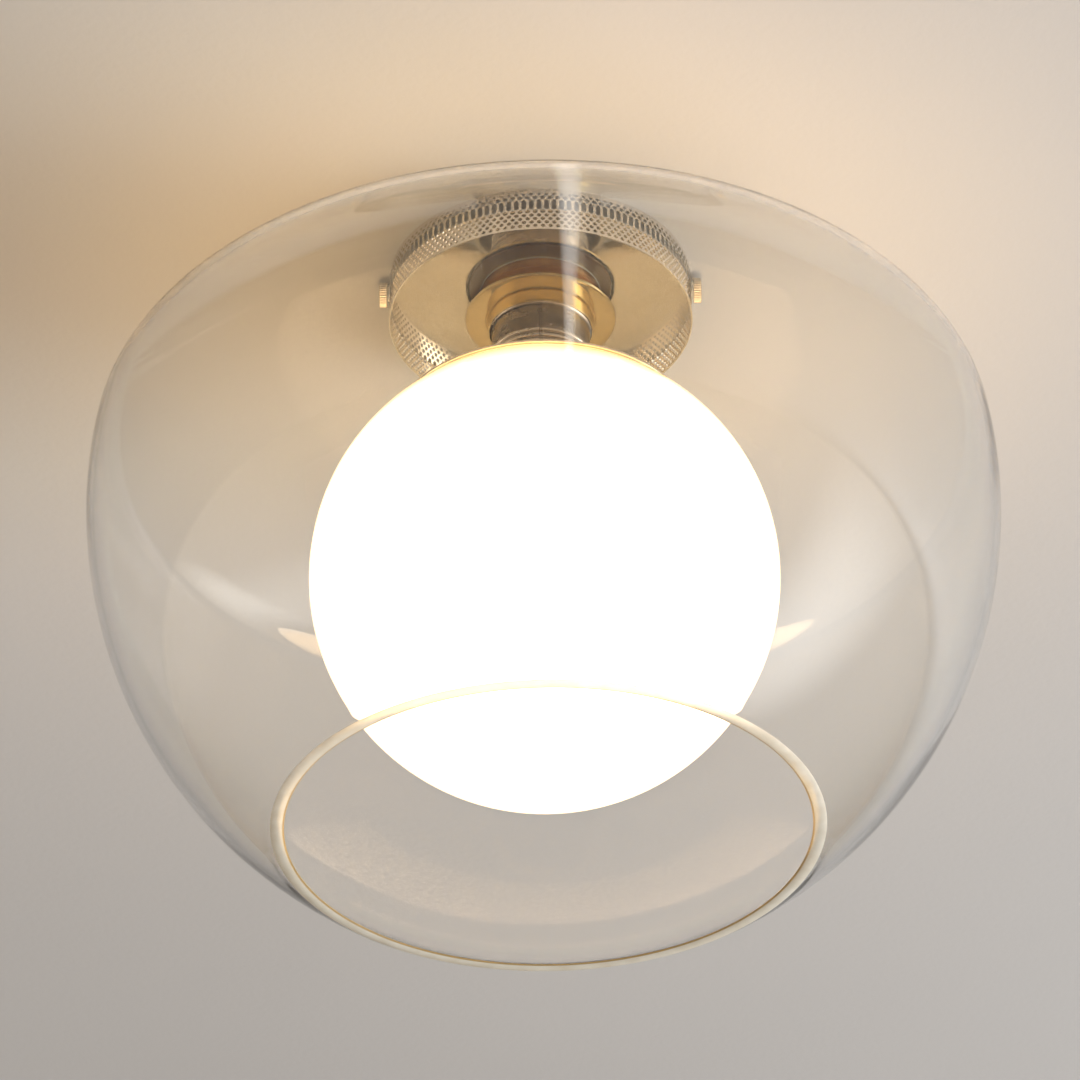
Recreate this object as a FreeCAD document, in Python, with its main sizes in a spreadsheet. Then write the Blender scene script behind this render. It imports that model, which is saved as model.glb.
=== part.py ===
"""Semi flush ceiling light: opal globe inside an open clear glass shade.

Origin at the centre of the ceiling face, +Z up, millimetres. The light hangs below z = 0.
"""
import FreeCAD, Part
import math
import os
import Sketcher

# Perforated band and the mirror plate that closes it
BAND_SIZES = {
    "band_diameter": 120.0,
    "band_height": 22.0,
    "band_wall": 0.6,
    "slot_count": 128,
    "slot_width": 1.7,
    "slot_length": 5.4,
    "slot_drop": 6.0,
    "plate_recess": 10.3,
    "plate_thickness": 1.0,
}

# Crossbar on the ceiling box, with its earth screw
BAR_SIZES = {
    "bar_width": 16.0,
    "bar_thickness": 2.0,
    "bar_end_gap": 0.5,
    "tab_gap": 0.5,
    "ceiling_hole_spacing": 70.0,
    "ceiling_hole_diameter": 4.6,
    "wire_hole_diameter": 13.0,
    "earth_screw_offset": 20.0,
    "earth_screw_diameter": 4.0,
    "earth_head_diameter": 7.6,
    "earth_head_height": 2.2,
}

# Knurled thumb screws and their washers
THUMB_SIZES = {
    "thumb_drop": 6.5,
    "thumb_head_diameter": 10.4,
    "thumb_head_length": 3.3,
    "thumb_edge": 0.3,
    "thumb_thread_diameter": 4.0,
    "thumb_thread_length": 7.0,
    "knurl_count": 30,
    "knurl_depth": 0.3,
    "washer_diameter": 8.0,
    "washer_thickness": 0.8,
    "shank_gap": 0.2,
}

# Threaded tube that hangs the lampholder from the plate
TUBE_SIZES = {
    "tube_diameter": 10.0,
    "tube_bore": 7.0,
    "tube_rise": 5.3,
    "locknut_flats": 14.0,
    "locknut_height": 3.0,
    "lock_washer_diameter": 18.0,
    "lock_washer_thickness": 0.8,
    "bushing_lip_diameter": 11.6,
    "bushing_lip_height": 1.0,
    "bushing_depth": 3.0,
    "bushing_wall": 0.9,
    "fit_gap": 0.05,
}

# Lampholder
HOLDER_SIZES = {
    "seat_diameter": 47.6,
    "seat_thickness": 3.8,
    "holder_diameter": 40.0,
    "holder_wall": 2.8,
    "holder_lid": 3.0,
    "thread_pitch": 2.7,
    "thread_depth": 0.8,
    "holder_neck": 2.0,
    "upper_thread_length": 12.0,
    "waist_length": 9.5,
    "lower_thread_length": 34.0,
    "mouth_land": 1.0,
    "core_gap": 0.2,
    "core_recess": 2.0,
    "core_length": 48.0,
    "core_lid": 21.5,
    "shell_diameter": 28.4,
    "shell_wall": 0.6,
    "shell_length": 25.3,
    "shell_eye": 10.4,
    "contact_diameter": 9.0,
    "contact_plate": 0.8,
    "contact_button_diameter": 5.0,
    "contact_button": 1.0,
    "contact_stem_diameter": 3.0,
    "terminal_offset": 9.0,
    "terminal_head_diameter": 5.0,
    "terminal_head_height": 1.8,
    "terminal_thread_diameter": 3.0,
    "terminal_thread_length": 6.0,
}

# Clear glass shade, its seals and the flanged ring that carries it
SHADE_SIZES = {
    "shade_diameter": 347.7,
    "shade_wall": 2.8,
    "shade_hole_diameter": 42.0,
    "shade_dome_radius": 258.0,
    "shade_shoulder_radius": 27.0,
    "shade_side_radius": 176.5,
    "shade_equator_drop": 98.8,
    "shade_height": 241.4,
    "upper_seal_thickness": 1.05,
    "lower_seal_diameter": 56.0,
    "lower_seal_thickness": 0.8,
    "seal_gap": 0.3,
    "ring_diameter": 59.2,
    "ring_flange": 1.3,
    "ring_lip": 0.5,
    "collar_wall": 0.7,
    "collar_length": 6.0,
    "thread_gap": 0.1,
}

# Globe cap, its two lock rings, the seal and the opal globe
GLOBE_SIZES = {
    "cap_rise": 21.4,
    "cap_diameter": 117.0,
    "cap_depth": 23.4,
    "cap_flat_diameter": 54.0,
    "cap_sheet": 0.8,
    "cap_rim": 0.9,
    "cap_collar_wall": 1.9,
    "collar_clearance": 1.37319,
    "upper_lock_diameter": 48.0,
    "upper_lock_height": 2.4,
    "lower_lock_diameter": 44.8,
    "lower_lock_height": 3.0,
    "lock_notch_count": 4,
    "lock_notch_width": 3.0,
    "lock_notch_depth": 1.0,
    "globe_diameter": 178.0,
    "globe_wall": 3.0,
    "neck_diameter": 52.0,
    "neck_bore": 46.0,
    "cap_clearance": 0.08618,
    "neck_thread_depth": 0.6,
    "neck_thread_width": 1.2,
    "neck_thread_pitch": 3.0,
    "neck_gap": 0.3,
    "neck_seal_gap": 0.1,
    "neck_seal_thickness": 0.8,
}

# Lamp bulb
BULB_SIZES = {
    "bulb_diameter": 60.0,
    "bulb_length": 77.0,
    "bulb_wall": 0.9,
    "bulb_neck_diameter": 22.8,
    "bulb_neck_depth": 8.0,
    "bulb_throat_diameter": 28.0,
    "bulb_throat_drop": 3.5,
    "base_diameter": 26.2,
    "base_length": 23.5,
    "base_wall": 0.5,
    "base_thread_depth": 0.7,
    "base_thread_pitch": 3.6,
    "base_taper": 1.9,
    "tip_diameter": 9.6,
    "tip_height": 1.0,
    "tip_gap": 0.3,
}

DOC = FreeCAD.newDocument("ceiling_light")
SHEET = DOC.addObject("Spreadsheet::Sheet", "Sizes")
PARTS = {}


class Size:
    """A length that holds its value and the sheet formula that gives it."""

    def __init__(self, value, text):
        self.value = value
        self.text = text

    def __add__(self, other):
        other = as_size(other)
        return Size(self.value + other.value, "(%s + %s)" % (self.text, other.text))

    def __sub__(self, other):
        other = as_size(other)
        return Size(self.value - other.value, "(%s - %s)" % (self.text, other.text))

    def __mul__(self, other):
        other = as_size(other)
        return Size(self.value * other.value, "(%s * %s)" % (self.text, other.text))

    def __truediv__(self, other):
        other = as_size(other)
        return Size(self.value / other.value, "(%s / %s)" % (self.text, other.text))

    def __neg__(self):
        return Size(-self.value, "(0 - %s)" % self.text)

    def root(self):
        return Size(math.sqrt(self.value), "sqrt(%s)" % self.text)


def as_size(number):
    """A plain number as a Size."""
    if isinstance(number, Size):
        return number
    return Size(float(number), "%.6f" % number)


def fill_sheet(*groups):
    """Write every driving size to the sheet and return them by name."""
    found = {}
    row = 1
    for group in groups:
        for name, value in group.items():
            SHEET.set("A%d" % row, name)
            SHEET.set("B%d" % row, str(value))
            SHEET.setAlias("B%d" % row, name)
            found[name] = Size(float(value), "Sizes." + name)
            row += 1
    return found


S = fill_sheet(BAND_SIZES, BAR_SIZES, THUMB_SIZES, TUBE_SIZES,
               HOLDER_SIZES, SHADE_SIZES, GLOBE_SIZES, BULB_SIZES)
DOC.recompute()

ZERO = as_size(0)

# Heights that several pieces share
BAND_RADIUS = S["band_diameter"] / 2
BAND_INSIDE = BAND_RADIUS - S["band_wall"]
PLATE_UNDER = S["plate_recess"] - S["band_height"]
PLATE_OVER = PLATE_UNDER + S["plate_thickness"]
SEAT_UNDER = PLATE_UNDER - S["seat_thickness"]
UPPER_SEAL_UNDER = SEAT_UNDER - S["upper_seal_thickness"]
TUBE_TOP = PLATE_OVER + S["tube_rise"]
HOLDER_LID_UNDER = SEAT_UNDER - S["holder_lid"]

HOLDER_RADIUS = S["holder_diameter"] / 2
HOLDER_ROOT = HOLDER_RADIUS - S["thread_depth"]
HOLDER_BORE = HOLDER_RADIUS - S["holder_wall"]
RING_BORE = HOLDER_RADIUS + S["thread_gap"]
UPPER_THREAD_TOP = SEAT_UNDER - S["holder_neck"]
UPPER_THREAD_END = UPPER_THREAD_TOP - S["upper_thread_length"]
LOWER_THREAD_TOP = UPPER_THREAD_END - S["waist_length"]
LOWER_THREAD_END = LOWER_THREAD_TOP - S["lower_thread_length"]
MOUTH = LOWER_THREAD_END - S["mouth_land"]


def sag(radius, reach):
    """Drop of a dome of this radius, measured at this reach from its axis."""
    return radius - (radius * radius - reach * reach).root()


DOME_TOP = UPPER_SEAL_UNDER - S["seal_gap"] + sag(S["shade_dome_radius"], S["shade_hole_diameter"] / 2)
DOME_INSIDE_RADIUS = S["shade_dome_radius"] - S["shade_wall"]
LOWER_SEAL_TOP = DOME_TOP - S["shade_wall"] - sag(DOME_INSIDE_RADIUS, S["lower_seal_diameter"] / 2)
FLANGE_TOP = LOWER_SEAL_TOP - S["lower_seal_thickness"]
FLANGE_UNDER = FLANGE_TOP - S["ring_flange"]

CAP_TOP = MOUTH + S["cap_rise"]
CAP_UNDER = CAP_TOP - S["cap_sheet"]
CAP_COLLAR_BORE = S["neck_diameter"] / 2 + S["neck_gap"]
CAP_COLLAR_OUT = CAP_COLLAR_BORE + S["cap_collar_wall"]
NECK_SEAL_TOP = CAP_UNDER - S["neck_seal_gap"]
NECK_TOP = NECK_SEAL_TOP - S["neck_seal_thickness"]
NECK_ROOT = S["neck_diameter"] / 2 - S["neck_thread_depth"]
GLOBE_RADIUS = S["globe_diameter"] / 2
CAP_RIM_RADIUS = S["cap_diameter"] / 2
CAP_RIM_FOOT = CAP_TOP - S["cap_depth"] - S["cap_rim"]
CAP_RIM_INSIDE = CAP_RIM_RADIUS - S["cap_rim"]
CAP_FLAT_RADIUS = S["cap_flat_diameter"] / 2
CAP_SLOPE = S["cap_depth"] / (CAP_RIM_RADIUS - CAP_FLAT_RADIUS)
CAP_SHELF = CAP_TOP - (CAP_COLLAR_OUT - CAP_FLAT_RADIUS) * CAP_SLOPE - S["cap_rim"]

# The globe hangs with its crown just clear of the cone under the cap, and the collar ends just above the globe
CONE_SLOPE = (CAP_SHELF - CAP_RIM_FOOT) / (CAP_RIM_INSIDE - CAP_COLLAR_OUT)
CONE_PEAK = CAP_RIM_FOOT + CONE_SLOPE * CAP_RIM_INSIDE
GLOBE_CENTRE = CONE_PEAK - (GLOBE_RADIUS + S["cap_clearance"]) * (CONE_SLOPE * CONE_SLOPE + 1).root()
GLOBE_AT_COLLAR = GLOBE_CENTRE + (GLOBE_RADIUS * GLOBE_RADIUS - CAP_COLLAR_BORE * CAP_COLLAR_BORE).root()
CAP_COLLAR_FOOT = GLOBE_AT_COLLAR + S["collar_clearance"]

CORE_UNDER = MOUTH + S["core_recess"]
CORE_TOP = CORE_UNDER + S["core_length"]
CORE_ROOF = CORE_TOP - S["core_lid"]
CONTACT_UNDER = CORE_ROOF - S["contact_plate"] - S["contact_button"]
TIP_TOP = CONTACT_UNDER - S["tip_gap"]
BASE_TOP = MOUTH + S["base_length"]


class Drawing:
    """A sketch in the upright plane: first coordinate is the radius, second the height."""

    def __init__(self, body, name):
        self.sketch = body.newObject("Sketcher::SketchObject", name)
        upright = [o for o in body.Origin.OriginFeatures if o.Role == "XZ_Plane"][0]
        self.sketch.AttachmentSupport = [(upright, "")]
        self.sketch.MapMode = "FlatFace"

    def line(self, start, end):
        first = FreeCAD.Vector(start[0], start[1], 0)
        second = FreeCAD.Vector(end[0], end[1], 0)
        return self.sketch.addGeometry(Part.LineSegment(first, second), False)

    def arc(self, centre, radius, low, high):
        """Arc that runs counter-clockwise from point low to point high."""
        begin = math.atan2(low[1] - centre[1], low[0] - centre[0])
        finish = math.atan2(high[1] - centre[1], high[0] - centre[0])
        circle = Part.Circle(FreeCAD.Vector(centre[0], centre[1], 0), FreeCAD.Vector(0, 0, 1), radius)
        return self.sketch.addGeometry(Part.ArcOfCircle(circle, begin, finish), False)

    def tie(self, kind, *refs):
        return self.sketch.addConstraint(Sketcher.Constraint(kind, *refs))

    def sized(self, kind, refs, size):
        """Add a sized constraint and bind it to its formula."""
        number = self.tie(kind, *refs, size.value)
        name = "%s_%d" % (kind.lower(), number)
        self.sketch.renameConstraint(number, name)
        self.sketch.setExpression("Constraints." + name, size.text)

    def place(self, item, end, radius=None, height=None):
        """Hold one end of an item, or an arc's centre, at a radius and a height."""
        if radius is not None:
            if radius is ZERO:
                self.tie("PointOnObject", item, end, -2)
            else:
                self.sized("DistanceX", (item, end), radius)
        if height is not None:
            self.sized("DistanceY", (item, end), height)

    def chain(self, points, closed=True):
        """Straight lines through the points, each point held by its formulas."""
        flat = [(p[0].value, p[1].value) for p in points]
        count = len(points)
        last = count if closed else count - 1
        items = [self.line(flat[i], flat[(i + 1) % count]) for i in range(last)]
        for i in range(last):
            self.place(items[i], 1, points[i][0], points[i][1])
            if i > 0:
                self.tie("Coincident", items[i - 1], 2, items[i], 1)
        if closed:
            self.tie("Coincident", items[-1], 2, items[0], 1)
        return items


def new_body(label):
    body = DOC.addObject("PartDesign::Body", label)
    body.Label = label
    return body


def revolve(body, drawing):
    """Turn the drawing once round the upright axis."""
    turn = body.newObject("PartDesign::Revolution", body.Label + "_turn")
    turn.Profile = drawing.sketch
    turn.ReferenceAxis = (drawing.sketch, ["V_Axis"])
    turn.Angle = 360.0
    drawing.sketch.Visibility = False
    return body


def turned(label, points, keep=True):
    """A piece turned from a straight-sided outline."""
    body = new_body(label)
    drawing = Drawing(body, label + "_outline")
    drawing.chain(points)
    revolve(body, drawing)
    if keep:
        PARTS[label] = body
    return body


def tube(label, bore, radius, under, over, keep=True):
    """A plain ring or tube between two heights."""
    return turned(label, [(bore, over), (radius, over), (radius, under), (bore, under)], keep)


def ridges(root, crest, start, pitch, count):
    """Outline points of rounded thread ridges, read downwards from start."""
    points = []
    for number in range(count):
        top = start - pitch * number
        points.append((root, top - pitch * 0.2))
        points.append((crest, top - pitch * 0.4))
        points.append((crest, top - pitch * 0.6))
        points.append((root, top - pitch * 0.8))
    return points


def cutters(label, shapes):
    """Several cutting shapes held as one helper object."""
    helper = DOC.addObject("Part::Feature", label)
    helper.Label = label
    helper.Shape = Part.makeCompound(shapes)
    return helper


def cut(label, base, tool):
    """The named piece: base with the tool taken away."""
    result = DOC.addObject("Part::Cut", label)
    result.Label = label
    result.Base = base
    result.Tool = tool
    PARTS[label] = result
    return result


def around(shape, count):
    """Copies of a shape, evenly spaced round the upright axis."""
    copies = []
    for number in range(count):
        copy = shape.copy()
        copy.rotate(FreeCAD.Vector(0, 0, 0), FreeCAD.Vector(0, 0, 1), 360.0 * number / count)
        copies.append(copy)
    return copies


def rod(radius, length, base, direction):
    return Part.makeCylinder(radius, length, FreeCAD.Vector(*base), FreeCAD.Vector(*direction))


def box_object(label, length, width, height, corner):
    """A block whose sides and corner follow the sheet."""
    block = DOC.addObject("Part::Box", label)
    block.Label = label
    for side, size in (("Length", length), ("Width", width), ("Height", height)):
        block.setExpression(side, size.text)
    place_at(block, corner)
    return block


def round_object(label, radius, height, base, axis=(0, 0, 1)):
    """A cylinder whose radius, height and base follow the sheet."""
    piece = DOC.addObject("Part::Cylinder", label)
    piece.Label = label
    piece.setExpression("Radius", radius.text)
    piece.setExpression("Height", height.text)
    turn = FreeCAD.Rotation(FreeCAD.Vector(0, 0, 1), FreeCAD.Vector(*axis))
    piece.Placement = FreeCAD.Placement(FreeCAD.Vector(), turn)
    place_at(piece, base)
    return piece


def place_at(piece, base):
    """Bind a piece's place to formulas."""
    for letter, size in zip("xyz", base):
        piece.setExpression("Placement.Base." + letter, size.text)


def make_band():
    """Thin perforated ring with a row of tall slots and two screw holes."""
    blank = tube("band_blank", BAND_INSIDE, BAND_RADIUS, -S["band_height"], ZERO, keep=False)
    outside = BAND_RADIUS.value
    depth = 3 * S["band_wall"].value
    width = S["slot_width"].value
    tall = S["slot_length"].value
    corner = FreeCAD.Vector(outside - 2 * S["band_wall"].value, -width / 2, -S["slot_drop"].value - tall)
    slot = Part.makeBox(depth, width, tall, corner)
    count = int(S["slot_count"].value)
    hole = (S["thumb_thread_diameter"] / 2 + S["shank_gap"]).value
    keep_clear = S["washer_diameter"].value / 2
    slots = []
    for copy in around(slot, count):
        middle = copy.BoundBox.Center
        if abs(middle.y) > keep_clear:
            slots.append(copy)
    for side in (-1, 1):
        start = (side * (outside - 2 * S["band_wall"].value), 0, -S["thumb_drop"].value)
        slots.append(rod(hole, depth, start, (side, 0, 0)))
    cut("canopy_band", blank, cutters("band_slots", slots))


def make_crossbar():
    """Flat bar with bent ends that take the thumb screws."""
    end = BAND_INSIDE - S["bar_end_gap"]
    drop = -PLATE_OVER - S["tab_gap"]
    half_width = S["bar_width"] / 2
    thick = S["bar_thickness"]
    bar = box_object("bar_flat", end * 2, S["bar_width"], thick, (-end, -half_width, -thick))
    left = box_object("bar_tab_left", thick, S["bar_width"], drop, (-end, -half_width, -drop))
    right = box_object("bar_tab_right", thick, S["bar_width"], drop, (end - thick, -half_width, -drop))
    blank = DOC.addObject("Part::MultiFuse", "bar_blank")
    blank.Shapes = [bar, left, right]
    blank.Refine = True
    holes = []
    through = thick * 3
    for side, name in ((-1, "left"), (1, "right")):
        offset = S["ceiling_hole_spacing"] * side / 2
        base = (offset, ZERO, -thick * 2)
        holes.append(round_object("ceiling_hole_" + name, S["ceiling_hole_diameter"] / 2, through, base))
        start = (end - thick * 2) * side
        base = (start, ZERO, -S["thumb_drop"])
        bore = S["thumb_thread_diameter"] / 2 + S["fit_gap"]
        holes.append(round_object("screw_hole_" + name, bore, through, base, (side, 0, 0)))
    holes.append(round_object("wire_hole", S["wire_hole_diameter"] / 2, through, (ZERO, ZERO, -thick * 2)))
    earth = (S["earth_screw_offset"], ZERO, -thick * 2)
    holes.append(round_object("earth_hole", S["earth_screw_diameter"] / 2 + S["fit_gap"], through, earth))
    drill = DOC.addObject("Part::MultiFuse", "bar_holes")
    drill.Shapes = holes
    cut("crossbar", blank, drill)


def make_earth_screw():
    """Pan-headed earth screw under the crossbar."""
    head = S["earth_head_diameter"] / 2
    shank = S["earth_screw_diameter"] / 2
    under = -S["bar_thickness"]
    tip = under - S["earth_head_height"]
    points = [(ZERO, ZERO), (shank, ZERO), (shank, under), (head, under)]
    points += [(head, under - S["earth_head_height"] / 2), (head * 0.75, tip), (ZERO, tip)]
    blank = turned("earth_blank", points, keep=False)
    width = head.value * 0.3
    reach = S["earth_head_diameter"].value
    corner = FreeCAD.Vector(-reach / 2, -width / 2, tip.value - width / 2)
    screw = cut("earth_screw", blank, cutters("earth_slot", [Part.makeBox(reach, width, width, corner)]))
    place_at(screw, (S["earth_screw_offset"], ZERO, ZERO))


def make_thumb_set(side, name):
    """Knurled thumb screw and washer on one side, built along +Z and laid along X."""
    head = S["thumb_head_diameter"] / 2
    shank = S["thumb_thread_diameter"] / 2
    under = S["washer_thickness"]
    top = under + S["thumb_head_length"]
    edge = S["thumb_edge"]
    tip = -S["thumb_thread_length"]
    points = [(ZERO, top), (head - edge, top), (head, top - edge), (head, under + edge), (head - edge, under)]
    points += [(shank, under), (shank, tip + edge), (shank - edge, tip), (ZERO, tip)]
    blank = turned("thumb_blank_" + name, points, keep=False)
    depth = S["knurl_depth"].value
    base = (head.value + depth * 0.4, 0, under.value - depth)
    groove = rod(depth * 1.4, S["thumb_head_length"].value + depth * 2, base, (0, 0, 1))
    grooves = cutters("thumb_knurl_" + name, around(groove, int(S["knurl_count"].value)))
    screw = cut("thumb_screw_" + name, blank, grooves)
    bore = shank + S["shank_gap"]
    washer = tube("thumb_washer_" + name, bore, S["washer_diameter"] / 2, ZERO, under)
    turn = FreeCAD.Rotation(FreeCAD.Vector(0, 0, 1), FreeCAD.Vector(side, 0, 0))
    for piece in (screw, washer):
        piece.Placement = FreeCAD.Placement(FreeCAD.Vector(), turn)
        place_at(piece, (BAND_RADIUS * side, ZERO, -S["thumb_drop"]))


def make_tube_set():
    """Plate, threaded tube, lock washer, locknut and bushing."""
    radius = S["tube_diameter"] / 2
    hole = radius + S["fit_gap"]
    tube("canopy_plate", hole, BAND_INSIDE, PLATE_UNDER, PLATE_OVER)
    tube("threaded_tube", S["tube_bore"] / 2, radius, HOLDER_LID_UNDER, TUBE_TOP)
    washer_top = PLATE_OVER + S["lock_washer_thickness"]
    tube("lock_washer", hole, S["lock_washer_diameter"] / 2, PLATE_OVER, washer_top)
    nut = DOC.addObject("Part::Prism", "locknut_blank")
    nut.Polygon = 6
    nut.setExpression("Circumradius", (S["locknut_flats"] / math.sqrt(3)).text)
    nut.setExpression("Height", S["locknut_height"].text)
    place_at(nut, (ZERO, ZERO, washer_top))
    bore_foot = washer_top - S["locknut_height"]
    bore = round_object("locknut_bore", hole, S["locknut_height"] * 3, (ZERO, ZERO, bore_foot))
    cut("locknut", nut, bore)
    sleeve = S["tube_bore"] / 2 - S["fit_gap"]
    bore = sleeve - S["bushing_wall"]
    lip = S["bushing_lip_diameter"] / 2
    over = TUBE_TOP + S["bushing_lip_height"]
    foot = TUBE_TOP - S["bushing_depth"]
    points = [(bore, over), (lip, over), (lip, TUBE_TOP), (sleeve, TUBE_TOP), (sleeve, foot), (bore, foot)]
    turned("tube_bushing", points)


def thread_turns(length, pitch):
    """Whole ridges that fit a thread's length."""
    return max(1, int(length.value / pitch.value + 1e-6))


def make_holder():
    """Seat disc and the threaded outer body of the lampholder."""
    hole = S["tube_diameter"] / 2 + S["fit_gap"]
    tube("seat_disc", hole, S["seat_diameter"] / 2, SEAT_UNDER, PLATE_UNDER)
    pitch = S["thread_pitch"]
    upper_turns = thread_turns(S["upper_thread_length"], pitch)
    lower_turns = thread_turns(S["lower_thread_length"], pitch)
    upper = ridges(HOLDER_ROOT, HOLDER_RADIUS, UPPER_THREAD_TOP, pitch, upper_turns)
    lower = ridges(HOLDER_ROOT, HOLDER_RADIUS, LOWER_THREAD_TOP, pitch, lower_turns)
    waist = HOLDER_RADIUS - S["thread_depth"] / 2
    points = [(hole, SEAT_UNDER), (HOLDER_ROOT, SEAT_UNDER)] + upper
    points += [(HOLDER_ROOT, UPPER_THREAD_END), (waist, UPPER_THREAD_END)]
    points += [(waist, LOWER_THREAD_TOP), (HOLDER_ROOT, LOWER_THREAD_TOP)] + lower
    points += [(HOLDER_ROOT, LOWER_THREAD_END), (HOLDER_ROOT, MOUTH), (HOLDER_BORE, MOUTH)]
    points += [(HOLDER_BORE, HOLDER_LID_UNDER), (hole, HOLDER_LID_UNDER)]
    turned("holder_body", points)


def make_holder_core():
    """Porcelain core with its screw shell, centre contact and terminal screws."""
    radius = HOLDER_BORE - S["core_gap"]
    nest = S["shell_diameter"] / 2 + S["core_gap"]
    stem = S["contact_stem_diameter"] / 2
    hole = stem + S["fit_gap"]
    points = [(hole, CORE_TOP), (radius, CORE_TOP), (radius, CORE_UNDER), (nest, CORE_UNDER)]
    points += [(nest, CORE_ROOF), (hole, CORE_ROOF)]
    blank = turned("core_blank", points, keep=False)
    drills = []
    depth = S["terminal_thread_length"]
    bore = S["terminal_thread_diameter"] / 2 + S["fit_gap"]
    for side, name in ((-1, "left"), (1, "right")):
        base = (S["terminal_offset"] * side, ZERO, CORE_TOP - depth)
        drills.append(round_object("terminal_hole_" + name, bore, depth * 2, base))
    drill = DOC.addObject("Part::MultiFuse", "core_holes")
    drill.Shapes = drills
    cut("holder_core", blank, drill)
    outer = S["shell_diameter"] / 2
    inner = outer - S["shell_wall"]
    eye = S["shell_eye"] / 2
    floor = CORE_ROOF - S["shell_wall"]
    foot = CORE_ROOF - S["shell_length"]
    top = [(eye, CORE_ROOF), (outer, CORE_ROOF)]
    turned("screw_shell", top + [(outer, foot), (inner, foot), (inner, floor), (eye, floor)])
    plate = S["contact_diameter"] / 2
    button = S["contact_button_diameter"] / 2
    under = CORE_ROOF - S["contact_plate"]
    points = [(ZERO, CORE_TOP), (stem, CORE_TOP), (stem, CORE_ROOF), (plate, CORE_ROOF), (plate, under)]
    turned("centre_contact", points + [(button, under), (button, CONTACT_UNDER), (ZERO, CONTACT_UNDER)])
    make_terminals()


def make_terminals():
    """Two terminal screws on top of the core, kept as one group."""
    head = S["terminal_head_diameter"] / 2
    shank = S["terminal_thread_diameter"] / 2
    top = CORE_TOP + S["terminal_head_height"]
    foot = CORE_TOP - S["terminal_thread_length"]
    screws = []
    for side, name in ((-1, "left"), (1, "right")):
        offset = S["terminal_offset"] * side
        label = "terminal_" + name
        cap = round_object(label + "_head", head, S["terminal_head_height"], (offset, ZERO, CORE_TOP))
        pin = round_object(label + "_shank", shank, S["terminal_thread_length"], (offset, ZERO, foot))
        screw = DOC.addObject("Part::Fuse", label)
        screw.Base = cap
        screw.Tool = pin
        screws.append(screw)
    width = head.value * 0.3
    reach = S["terminal_offset"].value * 3
    corner = FreeCAD.Vector(-reach / 2, -width / 2, top.value - width)
    group = DOC.addObject("Part::Compound", "terminal_pair")
    group.Links = screws
    cut("terminal_screws", group, cutters("terminal_slots", [Part.makeBox(reach, width, width * 2, corner)]))


def tangent_centre(first, reach_first, second, reach_second):
    """The outer of the two points at given distances from two centres."""
    across = math.hypot(second[0] - first[0], second[1] - first[1])
    along = (reach_first ** 2 - reach_second ** 2 + across ** 2) / (2 * across)
    rise = math.sqrt(reach_first ** 2 - along ** 2)
    unit = ((second[0] - first[0]) / across, (second[1] - first[1]) / across)
    foot = (first[0] + unit[0] * along, first[1] + unit[1] * along)
    one = (foot[0] + unit[1] * rise, foot[1] - unit[0] * rise)
    other = (foot[0] - unit[1] * rise, foot[1] + unit[0] * rise)
    return max(one, other)


def point_on(centre, toward, radius):
    """Point at this radius from a centre, through another point."""
    span = math.hypot(toward[0] - centre[0], toward[1] - centre[1])
    share = radius / span
    return (centre[0] + (toward[0] - centre[0]) * share, centre[1] + (toward[1] - centre[1]) * share)


def shade_skin(drawing, radii, centres, hole, foot):
    """Dome, shoulder and side arcs of one face of the shade, joined without corners."""
    dome, shoulder, side = centres
    upper = point_on(dome, shoulder, radii[0])
    lower = point_on(side, shoulder, radii[2])
    top = (hole, dome[1] + math.sqrt(radii[0] ** 2 - hole ** 2))
    rim = (side[0] + math.sqrt(radii[2] ** 2 - (side[1] - foot) ** 2), foot)
    items = [drawing.arc(dome, radii[0], upper, top)]
    items.append(drawing.arc(shoulder, radii[1], lower, upper))
    items.append(drawing.arc(side, radii[2], rim, lower))
    drawing.tie("Tangent", items[0], 1, items[1], 2)
    drawing.tie("Tangent", items[1], 1, items[2], 2)
    return items, top, rim


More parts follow.
